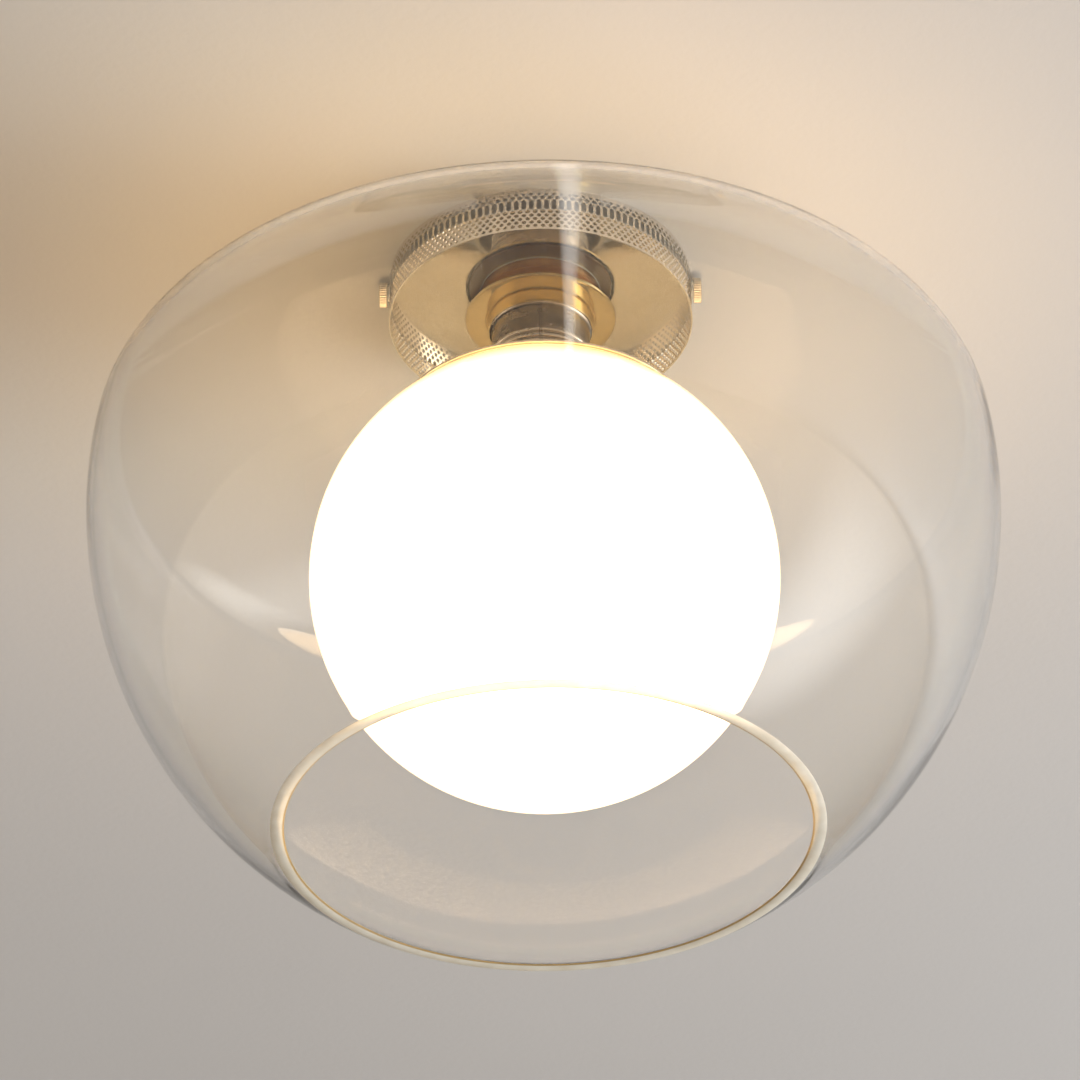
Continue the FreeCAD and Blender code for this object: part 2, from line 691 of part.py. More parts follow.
def make_shade():
    """Blown clear shade: a shallow dome, a tight shoulder and a round side with an open mouth."""
    body = new_body("clear_shade")
    drawing = Drawing(body, "clear_shade_outline")
    wall = S["shade_wall"].value
    radii = [S["shade_dome_radius"].value, S["shade_shoulder_radius"].value, S["shade_side_radius"].value]
    side_out = S["shade_diameter"] / 2 - S["shade_side_radius"]
    equator = DOME_TOP - S["shade_equator_drop"]
    foot = DOME_TOP - S["shade_height"]
    hole = S["shade_hole_diameter"] / 2
    dome = (0.0, (DOME_TOP - S["shade_dome_radius"]).value)
    side = (side_out.value, equator.value)
    shoulder = tangent_centre(side, radii[2] - radii[1], dome, radii[0] - radii[1])
    centres = (dome, shoulder, side)
    outer, top, rim = shade_skin(drawing, radii, centres, hole.value, foot.value)
    thin = [radius - wall for radius in radii]
    inner, top_in, rim_in = shade_skin(drawing, thin, centres, hole.value, foot.value)
    drawing.place(outer[0], 3, ZERO, DOME_TOP - S["shade_dome_radius"])
    drawing.sized("Radius", (outer[0],), S["shade_dome_radius"])
    drawing.sized("Radius", (outer[1],), S["shade_shoulder_radius"])
    drawing.sized("Radius", (outer[2],), S["shade_side_radius"])
    drawing.place(outer[2], 3, side_out, equator)
    for near, far in zip(inner, outer):
        drawing.tie("Coincident", near, 3, far, 3)
    drawing.sized("Radius", (inner[0],), DOME_INSIDE_RADIUS)
    for ends, post in (((top_in, top), 2), ((rim, rim_in), 1)):
        edge = drawing.line(*ends)
        low, high = (inner[0], outer[0]) if post == 2 else (outer[2], inner[2])
        drawing.tie("Coincident", edge, 1, low, post)
        drawing.tie("Coincident", edge, 2, high, post)
        drawing.tie("Vertical" if post == 2 else "Horizontal", edge)
    drawing.place(outer[0], 2, hole)
    drawing.place(outer[2], 1, None, foot)
    PARTS["clear_shade"] = revolve(body, drawing)


def make_shade_ring():
    """Seals above and below the glass, and the flanged ring under it."""
    clear = S["shade_hole_diameter"] / 2
    tube("upper_seal", HOLDER_ROOT + S["seal_gap"], S["seat_diameter"] / 2, UPPER_SEAL_UNDER, SEAT_UNDER)
    tube("lower_seal", clear, S["lower_seal_diameter"] / 2, FLANGE_TOP, LOWER_SEAL_TOP)
    collar = RING_BORE + S["collar_wall"]
    flange = S["ring_diameter"] / 2
    foot = FLANGE_UNDER - S["collar_length"]
    lip = S["ring_lip"]
    points = [(RING_BORE, FLANGE_TOP), (flange - lip, FLANGE_TOP), (flange, FLANGE_TOP - lip)]
    points += [(flange, FLANGE_UNDER + lip / 2), (flange - lip / 2, FLANGE_UNDER - lip / 2)]
    points += [(flange - lip * 3, FLANGE_UNDER), (collar, FLANGE_UNDER), (collar, foot), (RING_BORE, foot)]
    turned("shade_ring", points)


def lock_ring(label, radius, under, over):
    """Threaded lock ring with spanner notches in its rim."""
    blank = tube(label + "_blank", RING_BORE, radius, under, over, keep=False)
    width = S["lock_notch_width"].value
    depth = S["lock_notch_depth"].value
    tall = over.value - under.value
    corner = FreeCAD.Vector(radius.value - depth, -width / 2, under.value - depth)
    notch = Part.makeBox(depth * 2, width, tall + depth * 2, corner)
    cut(label, blank, cutters(label + "_notches", around(notch, int(S["lock_notch_count"].value))))


def make_cap():
    """Shallow cap over the globe, held on the holder's thread by two lock rings."""
    rim = CAP_RIM_RADIUS
    rim_top = CAP_TOP - S["cap_depth"]
    points = [(RING_BORE, CAP_TOP), (CAP_FLAT_RADIUS, CAP_TOP), (rim, rim_top), (rim, CAP_RIM_FOOT)]
    points += [(CAP_RIM_INSIDE, CAP_RIM_FOOT), (CAP_COLLAR_OUT, CAP_SHELF), (CAP_COLLAR_OUT, CAP_COLLAR_FOOT)]
    points += [(CAP_COLLAR_BORE, CAP_COLLAR_FOOT), (CAP_COLLAR_BORE, CAP_UNDER), (RING_BORE, CAP_UNDER)]
    turned("globe_cap", points)
    lock_ring("upper_lock_ring", S["upper_lock_diameter"] / 2, CAP_TOP, CAP_TOP + S["upper_lock_height"])
    lock_ring("lower_lock_ring", S["lower_lock_diameter"] / 2, CAP_UNDER - S["lower_lock_height"], CAP_UNDER)
    tube("neck_seal", S["neck_bore"] / 2, S["neck_diameter"] / 2, NECK_TOP, NECK_SEAL_TOP)


def make_globe():
    """Opal globe: a hollow sphere with a short threaded neck."""
    body = new_body("opal_globe")
    drawing = Drawing(body, "opal_globe_outline")
    wall = S["globe_wall"]
    crest = S["neck_diameter"] / 2
    root = NECK_ROOT
    bore = S["neck_bore"] / 2
    pitch = S["neck_thread_pitch"]
    middle = NECK_TOP - pitch * 0.6
    half = S["neck_thread_width"] / 2
    step = S["neck_thread_depth"] / 2
    neck = [(bore, NECK_TOP), (root, NECK_TOP), (root, middle + half), (crest, middle + half - step)]
    neck += [(crest, middle - half + step), (root, middle - half)]
    outer_radius = GLOBE_RADIUS.value
    inner_radius = (GLOBE_RADIUS - wall).value
    centre = (0.0, GLOBE_CENTRE.value)
    lines = drawing.chain(neck, closed=False)
    outer_joint = (root.value, centre[1] + math.sqrt(outer_radius ** 2 - root.value ** 2))
    inner_joint = (bore.value, centre[1] + math.sqrt(inner_radius ** 2 - bore.value ** 2))
    down = drawing.line((root.value, neck[-1][1].value), outer_joint)
    drawing.tie("Coincident", lines[-1], 2, down, 1)
    drawing.place(down, 1, root, middle - half)
    drawing.tie("Vertical", down)
    outer = drawing.arc(centre, outer_radius, (0.0, centre[1] - outer_radius), outer_joint)
    inner = drawing.arc(centre, inner_radius, (0.0, centre[1] - inner_radius), inner_joint)
    axis = drawing.line((0.0, centre[1] - outer_radius), (0.0, centre[1] - inner_radius))
    up = drawing.line(inner_joint, (bore.value, NECK_TOP.value))
    drawing.tie("Coincident", down, 2, outer, 2)
    drawing.tie("Coincident", outer, 1, axis, 1)
    drawing.tie("Coincident", axis, 2, inner, 1)
    drawing.tie("Coincident", inner, 2, up, 1)
    drawing.tie("Coincident", up, 2, lines[0], 1)
    drawing.tie("Vertical", up)
    drawing.place(outer, 3, ZERO, GLOBE_CENTRE)
    drawing.tie("Coincident", inner, 3, outer, 3)
    drawing.sized("Radius", (outer,), GLOBE_RADIUS)
    drawing.sized("Radius", (inner,), GLOBE_RADIUS - wall)
    drawing.tie("PointOnObject", outer, 1, -2)
    drawing.tie("PointOnObject", inner, 1, -2)
    PARTS["opal_globe"] = revolve(body, drawing)


def touch_point(outside, centre, radius):
    """Point where a line from an outside point touches the far side of a circle on the axis."""
    span = math.hypot(outside[0] - centre[0], outside[1] - centre[1])
    lean = math.atan2(outside[1] - centre[1], outside[0] - centre[0])
    turn = lean - math.acos(radius / span)
    return (centre[0] + radius * math.cos(turn), centre[1] + radius * math.sin(turn))


def bulb_skin(drawing, inset, neck_top):
    """Neck, cone and ball of one face of the bulb glass."""
    neck = S["bulb_neck_diameter"] / 2 - inset
    throat = S["bulb_throat_diameter"] / 2 - inset
    neck_foot = MOUTH - inset
    throat_foot = MOUTH - S["bulb_throat_drop"] - inset
    ball = S["bulb_diameter"] / 2 - inset
    middle = MOUTH - S["bulb_length"] + S["bulb_diameter"] / 2
    centre = (0.0, middle.value)
    points = [(neck, neck_top), (neck, neck_foot), (throat, throat_foot)]
    lines = drawing.chain(points, closed=False)
    touch = touch_point((throat.value, throat_foot.value), centre, ball.value)
    slope = drawing.line((throat.value, throat_foot.value), touch)
    drawing.tie("Coincident", lines[-1], 2, slope, 1)
    drawing.place(slope, 1, throat, throat_foot)
    arc = drawing.arc(centre, ball.value, (0.0, centre[1] - ball.value), touch)
    drawing.tie("Tangent", slope, 2, arc, 2)
    drawing.place(arc, 3, ZERO, middle)
    drawing.sized("Radius", (arc,), ball)
    drawing.tie("PointOnObject", arc, 1, -2)
    return lines, arc, neck.value, centre[1] - ball.value


def make_bulb():
    """Pear-shaped bulb: glass, threaded base, insulator and centre tip."""
    body = new_body("bulb_glass")
    drawing = Drawing(body, "bulb_glass_outline")
    neck_top = MOUTH + S["bulb_neck_depth"]
    outer_lines, outer_arc, outer_neck, outer_foot = bulb_skin(drawing, ZERO, neck_top)
    inner_lines, inner_arc, inner_neck, inner_foot = bulb_skin(drawing, S["bulb_wall"], neck_top)
    top = drawing.line((inner_neck, neck_top.value), (outer_neck, neck_top.value))
    drawing.tie("Coincident", top, 1, inner_lines[0], 1)
    drawing.tie("Coincident", top, 2, outer_lines[0], 1)
    foot = drawing.line((0.0, outer_foot), (0.0, inner_foot))
    drawing.tie("Coincident", foot, 1, outer_arc, 1)
    drawing.tie("Coincident", foot, 2, inner_arc, 1)
    PARTS["bulb_glass"] = revolve(body, drawing)

    crest = S["base_diameter"] / 2
    root = crest - S["base_thread_depth"]
    bore = root - S["base_wall"]
    land = S["base_thread_pitch"] / 2
    start = BASE_TOP - land
    count = thread_turns(S["base_length"] - land * 2, S["base_thread_pitch"])
    turns = ridges(root, crest, start, S["base_thread_pitch"], count)
    turned("bulb_base", [(bore, BASE_TOP), (root, BASE_TOP)] + turns + [(root, MOUTH), (bore, MOUTH)])

    tip = S["tip_diameter"] / 2
    tip_foot = TIP_TOP - S["tip_height"]
    points = [(ZERO, tip_foot), (tip, tip_foot), (bore, BASE_TOP), (bore, BASE_TOP - S["base_taper"])]
    turned("bulb_insulator", points + [(ZERO, BASE_TOP - S["base_taper"])])
    turned("bulb_tip", [(ZERO, TIP_TOP), (tip * 0.5, TIP_TOP), (tip, tip_foot), (ZERO, tip_foot)])


def check_and_write():
    """Stop on any failed object, then write each piece to its own file."""
    for item in DOC.Objects:
        if "Invalid" in item.State or "Error" in item.State:
            raise RuntimeError("failed object: " + item.Label)
    os.makedirs("parts", exist_ok=True)
    for label, item in PARTS.items():
        shape = item.Shape
        if shape.isNull() or not shape.isValid():
            raise RuntimeError("bad shape: " + label)
        shape.exportStep("parts/%s.step" % label)
        box = shape.BoundBox
        facts = (label, len(shape.Solids), shape.Volume, box.ZMin, box.ZMax)
        print("%-18s solids %d volume %10.1f  z %8.2f to %8.2f" % facts)


make_band()
make_crossbar()
make_earth_screw()
for facing, word in ((-1, "left"), (1, "right")):
    make_thumb_set(facing, word)
make_tube_set()
make_holder()
make_holder_core()
make_shade()
make_shade_ring()
make_cap()
make_globe()
make_bulb()
DOC.recompute()
check_and_write()
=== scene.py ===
import math

import bpy
import numpy as np
from mathutils import Matrix, Vector


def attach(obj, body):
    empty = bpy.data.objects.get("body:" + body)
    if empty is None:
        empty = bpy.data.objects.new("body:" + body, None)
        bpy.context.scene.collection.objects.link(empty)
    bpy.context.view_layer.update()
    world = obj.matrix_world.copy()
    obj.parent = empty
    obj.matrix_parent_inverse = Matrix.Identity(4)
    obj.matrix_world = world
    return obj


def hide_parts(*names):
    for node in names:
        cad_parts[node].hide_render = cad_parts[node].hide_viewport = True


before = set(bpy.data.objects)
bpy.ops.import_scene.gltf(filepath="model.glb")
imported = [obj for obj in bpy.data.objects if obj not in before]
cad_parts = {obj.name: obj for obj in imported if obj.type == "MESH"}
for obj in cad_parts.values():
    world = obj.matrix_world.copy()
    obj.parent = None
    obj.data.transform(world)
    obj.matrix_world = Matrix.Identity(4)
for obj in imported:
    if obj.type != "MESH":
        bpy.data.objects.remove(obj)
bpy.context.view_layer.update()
MM = 0.001

# Heights and radii of the light, in millimetres below the ceiling
BAND = {"radius": 60.0, "wall": 0.6, "foot": -22.0, "columns": 128, "screw_rows": 10.0, "bare_half": 4.0}
PLATE = {"radius": 59.4, "under": -11.7, "over": -10.7, "hole": 5.2}
THUMB = {"head": 5.2, "shank": 2.0, "foot": 60.8, "end": 53.0, "height": -6.5, "grooves": 30.0, "depth": 0.3}
SHADE = {
    "apex": -16.0, "dome": 258.0, "shoulder": 27.0, "side": 176.5,
    "side_r": -2.65, "side_z": -114.8, "foot": -257.39, "wall": 2.8, "hole": 21.0,
    "rim_reflection_line": 97.2,
}
HOLDER = {"crest": 20.0, "depth": 0.8, "pitch": 2.7, "top": -15.5, "mouth": -74.0, "bore": 17.2}
GLOBE = {"radius": 89.0, "wall": 3.0, "centre": -145.0, "neck": 25.4, "bore": 23.0, "top": -54.3}


# Turned pieces: an outline of radius and height, spun about the upright axis

def softened(outline, cuts, steps=4):
    """The outline with a small round put on each corner that has a cut."""
    count = len(outline)
    result = []
    for i, (point, size) in enumerate(zip(outline, cuts)):
        here = np.array(point, float)
        if not size:
            result.append(tuple(here))
            continue
        before = np.array(outline[i - 1], float) - here
        after = np.array(outline[(i + 1) % count], float) - here
        reach = min(size, np.linalg.norm(before) * 0.45, np.linalg.norm(after) * 0.45)
        start = here + before / np.linalg.norm(before) * reach
        end = here + after / np.linalg.norm(after) * reach
        for k in range(steps + 1):
            t = k / steps
            result.append(tuple(start * (1 - t) ** 2 + here * 2 * t * (1 - t) + end * t * t))
    return result


def arc_points(centre, radius, start, end, steps):
    """Points on an arc in the outline plane, angles in degrees from the radius axis."""
    turns = np.radians(np.linspace(start, end, steps + 1))
    return [(centre[0] + radius * math.cos(a), centre[1] + radius * math.sin(a)) for a in turns]


def mesh_object(name, points, faces, sharp=35.0):
    """A named object from points in millimetres, smooth but for its sharp edges."""
    mesh = bpy.data.meshes.new(name)
    mesh.from_pydata([tuple(c * MM for c in p) for p in points], [], faces)
    mesh.validate()
    mesh.shade_smooth()
    mesh.set_sharp_from_angle(angle=math.radians(sharp))
    obj = bpy.data.objects.new(name, mesh)
    bpy.context.scene.collection.objects.link(obj)
    return obj


def turned(name, outline, steps=192, axis="z", at=(0, 0, 0), sharp=35.0, closed=True):
    """Spin an outline, run clockwise so that its faces point outwards, into a solid."""
    outline = [(max(r, 0.0), z) for r, z in outline]
    area = sum(a[0] * b[1] - b[0] * a[1] for a, b in zip(outline, outline[1:] + outline[:1]))
    if area > 0:
        outline = outline[::-1]
    rings, points, faces = [], [], []
    for r, z in outline:
        if r < 1e-6:
            rings.append([len(points)] * steps)
            points.append((0.0, 0.0, z))
            continue
        rings.append(list(range(len(points), len(points) + steps)))
        for k in range(steps):
            a = 2 * math.pi * k / steps
            points.append((r * math.cos(a), r * math.sin(a), z))
    pairs = list(zip(rings, rings[1:] + rings[:1])) if closed else list(zip(rings, rings[1:]))
    for upper, lower in pairs:
        for k in range(steps):
            n = (k + 1) % steps
            corners = [upper[k], lower[k], lower[n], upper[n]]
            face = [c for i, c in enumerate(corners) if c not in corners[:i]]
            if len(face) > 2:
                faces.append(face)
    turned_points = []
    for x, y, z in points:
        if axis == "x":
            x, y, z = z, x, y
        elif axis == "-x":
            x, y, z = -z, -x, y
        turned_points.append((x + at[0], y + at[1], z + at[2]))
    return mesh_object(name, turned_points, faces, sharp)


# Node trees that carve what repeats

class Tree:
    """A geometry tree with named sizes."""

    def __init__(self, name, sizes):
        self.tree = bpy.data.node_groups.new(name, "GeometryNodeTree")
        face = self.tree.interface
        face.new_socket("Geometry", in_out="INPUT", socket_type="NodeSocketGeometry")
        for size in sizes:
            face.new_socket(size, in_out="INPUT", socket_type="NodeSocketFloat")
        face.new_socket("Finish", in_out="INPUT", socket_type="NodeSocketMaterial")
        face.new_socket("Geometry", in_out="OUTPUT", socket_type="NodeSocketGeometry")
        self.given = self.tree.nodes.new("NodeGroupInput").outputs
        self.result = self.tree.nodes.new("NodeGroupOutput")

    def add(self, kind, links=(), **settings):
        node = self.tree.nodes.new(kind)
        for key, value in settings.items():
            setattr(node, key, value)
        for key, value in dict(links).items():
            self.feed(node.inputs[key], value)
        return node

    def feed(self, socket, value):
        if isinstance(value, bpy.types.NodeSocket):
            self.tree.links.new(value, socket)
        else:
            socket.default_value = value

    def sum(self, operation, *values):
        node = self.add("ShaderNodeMath", operation=operation)
        for socket, value in zip(node.inputs, values):
            self.feed(socket, value)
        return node.outputs[0]

    def position(self):
        split = self.add("ShaderNodeSeparateXYZ")
        self.feed(split.inputs[0], self.add("GeometryNodeInputPosition").outputs[0])
        return split.outputs[0], split.outputs[1], split.outputs[2]

    def vector(self, x, y, z):
        return self.add("ShaderNodeCombineXYZ", {0: x, 1: y, 2: z}).outputs[0]

    def move(self, geometry, where):
        return self.add("GeometryNodeSetPosition", {"Geometry": geometry, "Position": where}).outputs[0]

    def finish(self, geometry):
        real = self.add("GeometryNodeRealizeInstances", {0: geometry}).outputs[0]
        done = self.add("GeometryNodeSetMaterial", {"Geometry": real, "Material": self.given["Finish"]})
        self.feed(self.result.inputs[0], done.outputs[0])


def grown(tree, obj, finish, **sizes):
    """Run a tree on an object with its sizes, and keep the result as its mesh."""
    step = obj.modifiers.new("growth", "NODES")
    step.node_group = tree.tree
    sizes["Finish"] = finish
    for item in tree.tree.interface.items_tree:
        if item.in_out == "INPUT" and item.name in sizes:
            step[item.identifier] = sizes[item.name]
    bpy.context.view_layer.update()
    graph = bpy.context.evaluated_depsgraph_get()
    mesh = bpy.data.meshes.new_from_object(obj.evaluated_get(graph))
    obj.modifiers.remove(step)
    obj.data = mesh
    return obj


def perforated_row_tree():
    """One row of holes in a flat strip, bent round to the band's radius."""
    t = Tree("perforated_row", ["pitch", "count", "low", "high", "hole_height", "hole_radius",
                                "hole_stretch", "shift", "radius", "foot", "bare_half"])
    g = t.given
    half = t.sum("MULTIPLY", g["pitch"], 0.5)
    corner = [t.vector(t.sum("MULTIPLY", half, s), g[h], 0.0)
              for s, h in ((-1.0, "low"), (1.0, "low"), (1.0, "high"), (-1.0, "high"))]
    cell = t.add("GeometryNodeCurvePrimitiveQuadrilateral", mode="POINTS")
    for k in range(4):
        t.feed(cell.inputs["Point %d" % (k + 1)], corner[k])
    edge = t.add("GeometryNodeSubdivideCurve", {"Curve": cell.outputs[0], "Cuts": 1}).outputs[0]
    ring = t.add("GeometryNodeCurvePrimitiveCircle", {"Resolution": 16, "Radius": g["hole_radius"]})
    x, y, z = t.position()
    stretch = t.sum("MULTIPLY", t.sum("SIGN", t.sum("SNAP", y, 1e-6)), g["hole_stretch"])
    raised = t.sum("ADD", t.sum("ADD", y, stretch), g["hole_height"])
    hole = t.move(ring.outputs[0], t.vector(x, raised, 0.0))
    both = t.add("GeometryNodeJoinGeometry")
    t.feed(both.inputs[0], hole)
    t.feed(both.inputs[0], edge)
    pierced = t.add("GeometryNodeFillCurve", {"Curve": both.outputs[0]}).outputs[0]
    bare = t.add("GeometryNodeFillCurve", {"Curve": edge}).outputs[0]
    line = t.add("GeometryNodeMeshLine", {"Offset": t.vector(g["pitch"], 0.0, 0.0)})
    t.feed(line.inputs["Count"], g["count"])
    start = t.vector(t.sum("MULTIPLY", g["pitch"], g["shift"]), 0.0, 0.0)
    t.feed(line.inputs["Start Location"], start)
    x, y, z = t.position()
    sideways = t.sum("MULTIPLY", t.sum("COSINE", t.sum("DIVIDE", x, g["radius"])), g["radius"])
    near_screw = t.sum("LESS_THAN", t.sum("ABSOLUTE", sideways), g["bare_half"])
    wide = t.add("GeometryNodeInstanceOnPoints", {"Points": line.outputs[0], "Instance": bare})
    t.feed(wide.inputs["Selection"], near_screw)
    open_cells = t.add("GeometryNodeInstanceOnPoints", {"Points": line.outputs[0], "Instance": pierced})
    t.feed(open_cells.inputs["Selection"], t.sum("SUBTRACT", 1.0, near_screw))
    strip = t.add("GeometryNodeJoinGeometry")
    t.feed(strip.inputs[0], wide.outputs[0])
    t.feed(strip.inputs[0], open_cells.outputs[0])
    flat = t.add("GeometryNodeRealizeInstances", {0: strip.outputs[0]}).outputs[0]
    x, y, z = t.position()
    turn = t.sum("DIVIDE", x, g["radius"])
    out = t.sum("ADD", g["radius"], z)
    bent = t.vector(t.sum("MULTIPLY", out, t.sum("SINE", turn)),
                    t.sum("MULTIPLY", t.sum("MULTIPLY", out, t.sum("COSINE", turn)), -1.0),
                    t.sum("ADD", y, g["foot"]))
    t.finish(t.move(flat, bent))
    return t


def knurled_tree():
    """Straight grooves cut round a turned head that lies along the X axis."""
    t = Tree("knurled_head", ["count", "depth", "rim", "height"])
    g = t.given
    x, y, z = t.position()
    up = t.sum("SUBTRACT", z, g["height"])
    reach = t.sum("SQRT", t.sum("ADD", t.sum("MULTIPLY", y, y), t.sum("MULTIPLY", up, up)))
    turn = t.sum("ARCTAN2", up, y)
    wave = t.sum("ABSOLUTE", t.sum("SINE", t.sum("MULTIPLY", turn, t.sum("MULTIPLY", g["count"], 0.5))))
    groove = t.sum("MULTIPLY", t.sum("SUBTRACT", 1.0, t.sum("POWER", wave, 0.7)), g["depth"])
    on_rim = t.sum("GREATER_THAN", reach, g["rim"])
    cut = t.sum("DIVIDE", t.sum("MULTIPLY", groove, on_rim), t.sum("MAXIMUM", reach, 1e-5))
    share = t.sum("SUBTRACT", 1.0, cut)
    where = t.vector(x, t.sum("MULTIPLY", y, share), t.sum("ADD", t.sum("MULTIPLY", up, share), g["height"]))
    t.finish(t.move(t.given["Geometry"], where))
    return t


def threaded_tree():
    """Helical ridges on a tube about the Z axis, fading out at both ends of their run."""
    t = Tree("threaded_tube", ["pitch", "depth", "root", "top", "end", "fade"])
    g = t.given
    x, y, z = t.position()
    reach = t.sum("SQRT", t.sum("ADD", t.sum("MULTIPLY", x, x), t.sum("MULTIPLY", y, y)))
    turn = t.sum("DIVIDE", t.sum("ARCTAN2", y, x), 2 * math.pi)
    place = t.sum("FRACT", t.sum("ADD", t.sum("DIVIDE", z, g["pitch"]), t.sum("ADD", turn, 100.0)))
    hump = t.sum("SUBTRACT", 1.0, t.sum("ABSOLUTE", t.sum("SUBTRACT", t.sum("MULTIPLY", place, 2.0), 1.0)))
    flank = t.add("ShaderNodeMapRange", {0: hump, 1: 0.22, 2: 0.72}, interpolation_type="SMOOTHSTEP")
    ridge = flank.outputs[0]
    inner = t.sum("MINIMUM", t.sum("SUBTRACT", g["top"], z), t.sum("SUBTRACT", z, g["end"]))
    run = t.sum("MINIMUM", t.sum("MAXIMUM", t.sum("DIVIDE", inner, g["fade"]), 0.0), 1.0)
    on_wall = t.sum("GREATER_THAN", reach, g["root"])
    rise = t.sum("MULTIPLY", t.sum("MULTIPLY", t.sum("MULTIPLY", ridge, run), on_wall), g["depth"])
    share = t.sum("ADD", 1.0, t.sum("DIVIDE", rise, t.sum("MAXIMUM", reach, 1e-5)))
    where = t.vector(t.sum("MULTIPLY", x, share), t.sum("MULTIPLY", y, share), z)
    t.finish(t.move(t.given["Geometry"], where))
    return t


# Finishes

class Finish:
    """A material: one shader, and the patterns that vary it over the surface."""

    def __init__(self, name, **settings):
        self.material = bpy.data.materials.new(name)
        self.material.use_nodes = True
        self.nodes = self.material.node_tree.nodes
        self.nodes.clear()
        self.output = self.nodes.new("ShaderNodeOutputMaterial")
        self.shader = self.nodes.new("ShaderNodeBsdfPrincipled")
        self.join(self.shader.outputs[0], self.output.inputs[0])
        for key, value in settings.items():
            self.shader.inputs[key.replace("_", " ")].default_value = value

    def join(self, source, socket):
        self.material.node_tree.links.new(source, socket)

    def add(self, kind, links=(), **settings):
        node = self.nodes.new(kind)
        for key, value in settings.items():
            setattr(node, key, value)
        for key, value in dict(links).items():
            if isinstance(value, bpy.types.NodeSocket):
                self.join(value, node.inputs[key])
            else:
                node.inputs[key].default_value = value
        return node

    def place(self, stretch=(1, 1, 1)):
        """Object coordinates, stretched so that a pattern runs along an axis."""
        source = self.add("ShaderNodeTexCoord").outputs["Object"]
        return self.add("ShaderNodeMapping", {"Vector": source, "Scale": stretch}).outputs[0]

    def around(self):
        """Angle, radius and height, for patterns that follow a turned surface."""
        split = self.add("ShaderNodeSeparateXYZ", {0: self.place()}).outputs
        flat = self.place((1, 1, 0))
        reach = self.add("ShaderNodeVectorMath", {0: flat}, operation="LENGTH").outputs["Value"]
        turn = self.math("ARCTAN2", split[1], split[0])
        return turn, reach, split[2]

    def math(self, operation, *values):
        return self.add("ShaderNodeMath", dict(enumerate(values)), operation=operation).outputs[0]

    def noise(self, scale, detail=3.0, stretch=(1, 1, 1), rough=0.5):
        links = {"Vector": self.place(stretch), "Scale": scale, "Detail": detail, "Roughness": rough}
        return self.add("ShaderNodeTexNoise", links).outputs[0]

    def span(self, value, low, high, start=0.3, end=0.7):
        """A pattern's value spread between two numbers."""
        return self.add("ShaderNodeMapRange", {0: value, 1: start, 2: end, 3: low, 4: high}).outputs[0]

    def blend(self, value, first, second):
        """Two colours mixed by a pattern."""
        ramp = self.add("ShaderNodeValToRGB", {0: value}).color_ramp
        ramp.elements[0].position, ramp.elements[1].position = 0.32, 0.68
        ramp.elements[0].color, ramp.elements[1].color = (*first, 1), (*second, 1)
        return self.nodes[-1].outputs[0]

    def tinted(self, share, first, second):
        """A colour or pattern turned to a second colour by a share from 0 to 1."""
        node = self.add("ShaderNodeMix", {0: share, 6: first, 7: (*second, 1)}, data_type="RGBA")
        return node.outputs[2]

    def seen_as(self, share, first, second):
        """Two shaders mixed by a share, on the way to the surface."""
        mixed = self.add("ShaderNodeMixShader", {0: share, 1: first, 2: second})
        self.join(mixed.outputs[0], self.output.inputs[0])

    def colour(self, value, first, second):
        self.join(self.blend(value, first, second), self.shader.inputs["Base Color"])

    def rough(self, value, low, high):
        self.join(self.span(value, low, high), self.shader.inputs["Roughness"])

    def relief(self, value, depth, strength=1.0):
        """Surface height in metres from a pattern."""
        bump = self.add("ShaderNodeBump", {"Height": value, "Distance": depth, "Strength": strength})
        last = getattr(self, "last_bump", None)
        if last is not None:
            self.join(last, bump.inputs["Normal"])
        self.last_bump = bump.outputs[0]
        self.join(self.last_bump, self.shader.inputs["Normal"])


def turned_metal(name, light, dark, smooth, dull, depth, axis=2, **settings):
    """Metal with lathe rings, a cloudy wipe and small scuffs."""
    f = Finish(name, Metallic=1.0, **settings)
    cloud = f.noise(26.0, 4.0)
    f.colour(cloud, dark, light)
    scuffs = f.math("MULTIPLY", f.noise(420.0, 2.0), 0.4)
    f.rough(f.math("ADD", f.math("MULTIPLY", cloud, 0.6), scuffs), smooth, dull)
    rings = [4, 4, 4]
    rings[axis] = 1400
    f.relief(f.noise(1.0, 2.0, tuple(rings)), depth)
    f.relief(f.noise(900.0, 2.0), depth * 0.4)
    return f.material


def moulded(name, light, dark, smooth, dull, depth, grain=600.0, **settings):
    """A moulded or glazed surface with fine grain and slow colour drift."""
    f = Finish(name, **settings)
    drift = f.noise(40.0, 5.0)
    f.colour(drift, dark, light)
    f.rough(f.noise(160.0, 3.0), smooth, dull)
    f.relief(f.noise(grain, 3.0), depth)
    return f.material


def polished_nickel(name, dark, light):
    """Mirror nickel: faint polishing swirls, wiped smears and a warm tone."""
    f = Finish(name, Metallic=1.0)
    f.colour(f.noise(18.0, 4.0), dark, light)
    f.rough(f.noise(60.0, 5.0, (1, 1, 3), 0.6), 0.035, 0.085)
    turn, reach, height = f.around()
    lathe = f.add("ShaderNodeCombineXYZ", {0: reach, 1: turn, 2: height}).outputs[0]
    drawn_out = f.add("ShaderNodeMapping", {"Vector": lathe, "Scale": (900, 3, 900)}).outputs[0]
    swirls = f.add("ShaderNodeTexNoise", {"Vector": drawn_out, "Scale": 1.0, "Detail": 2.0}).outputs[0]
    f.relief(swirls, 0.0000004)
    f.relief(f.noise(30.0, 2.0), 0.00002)
    return f.material


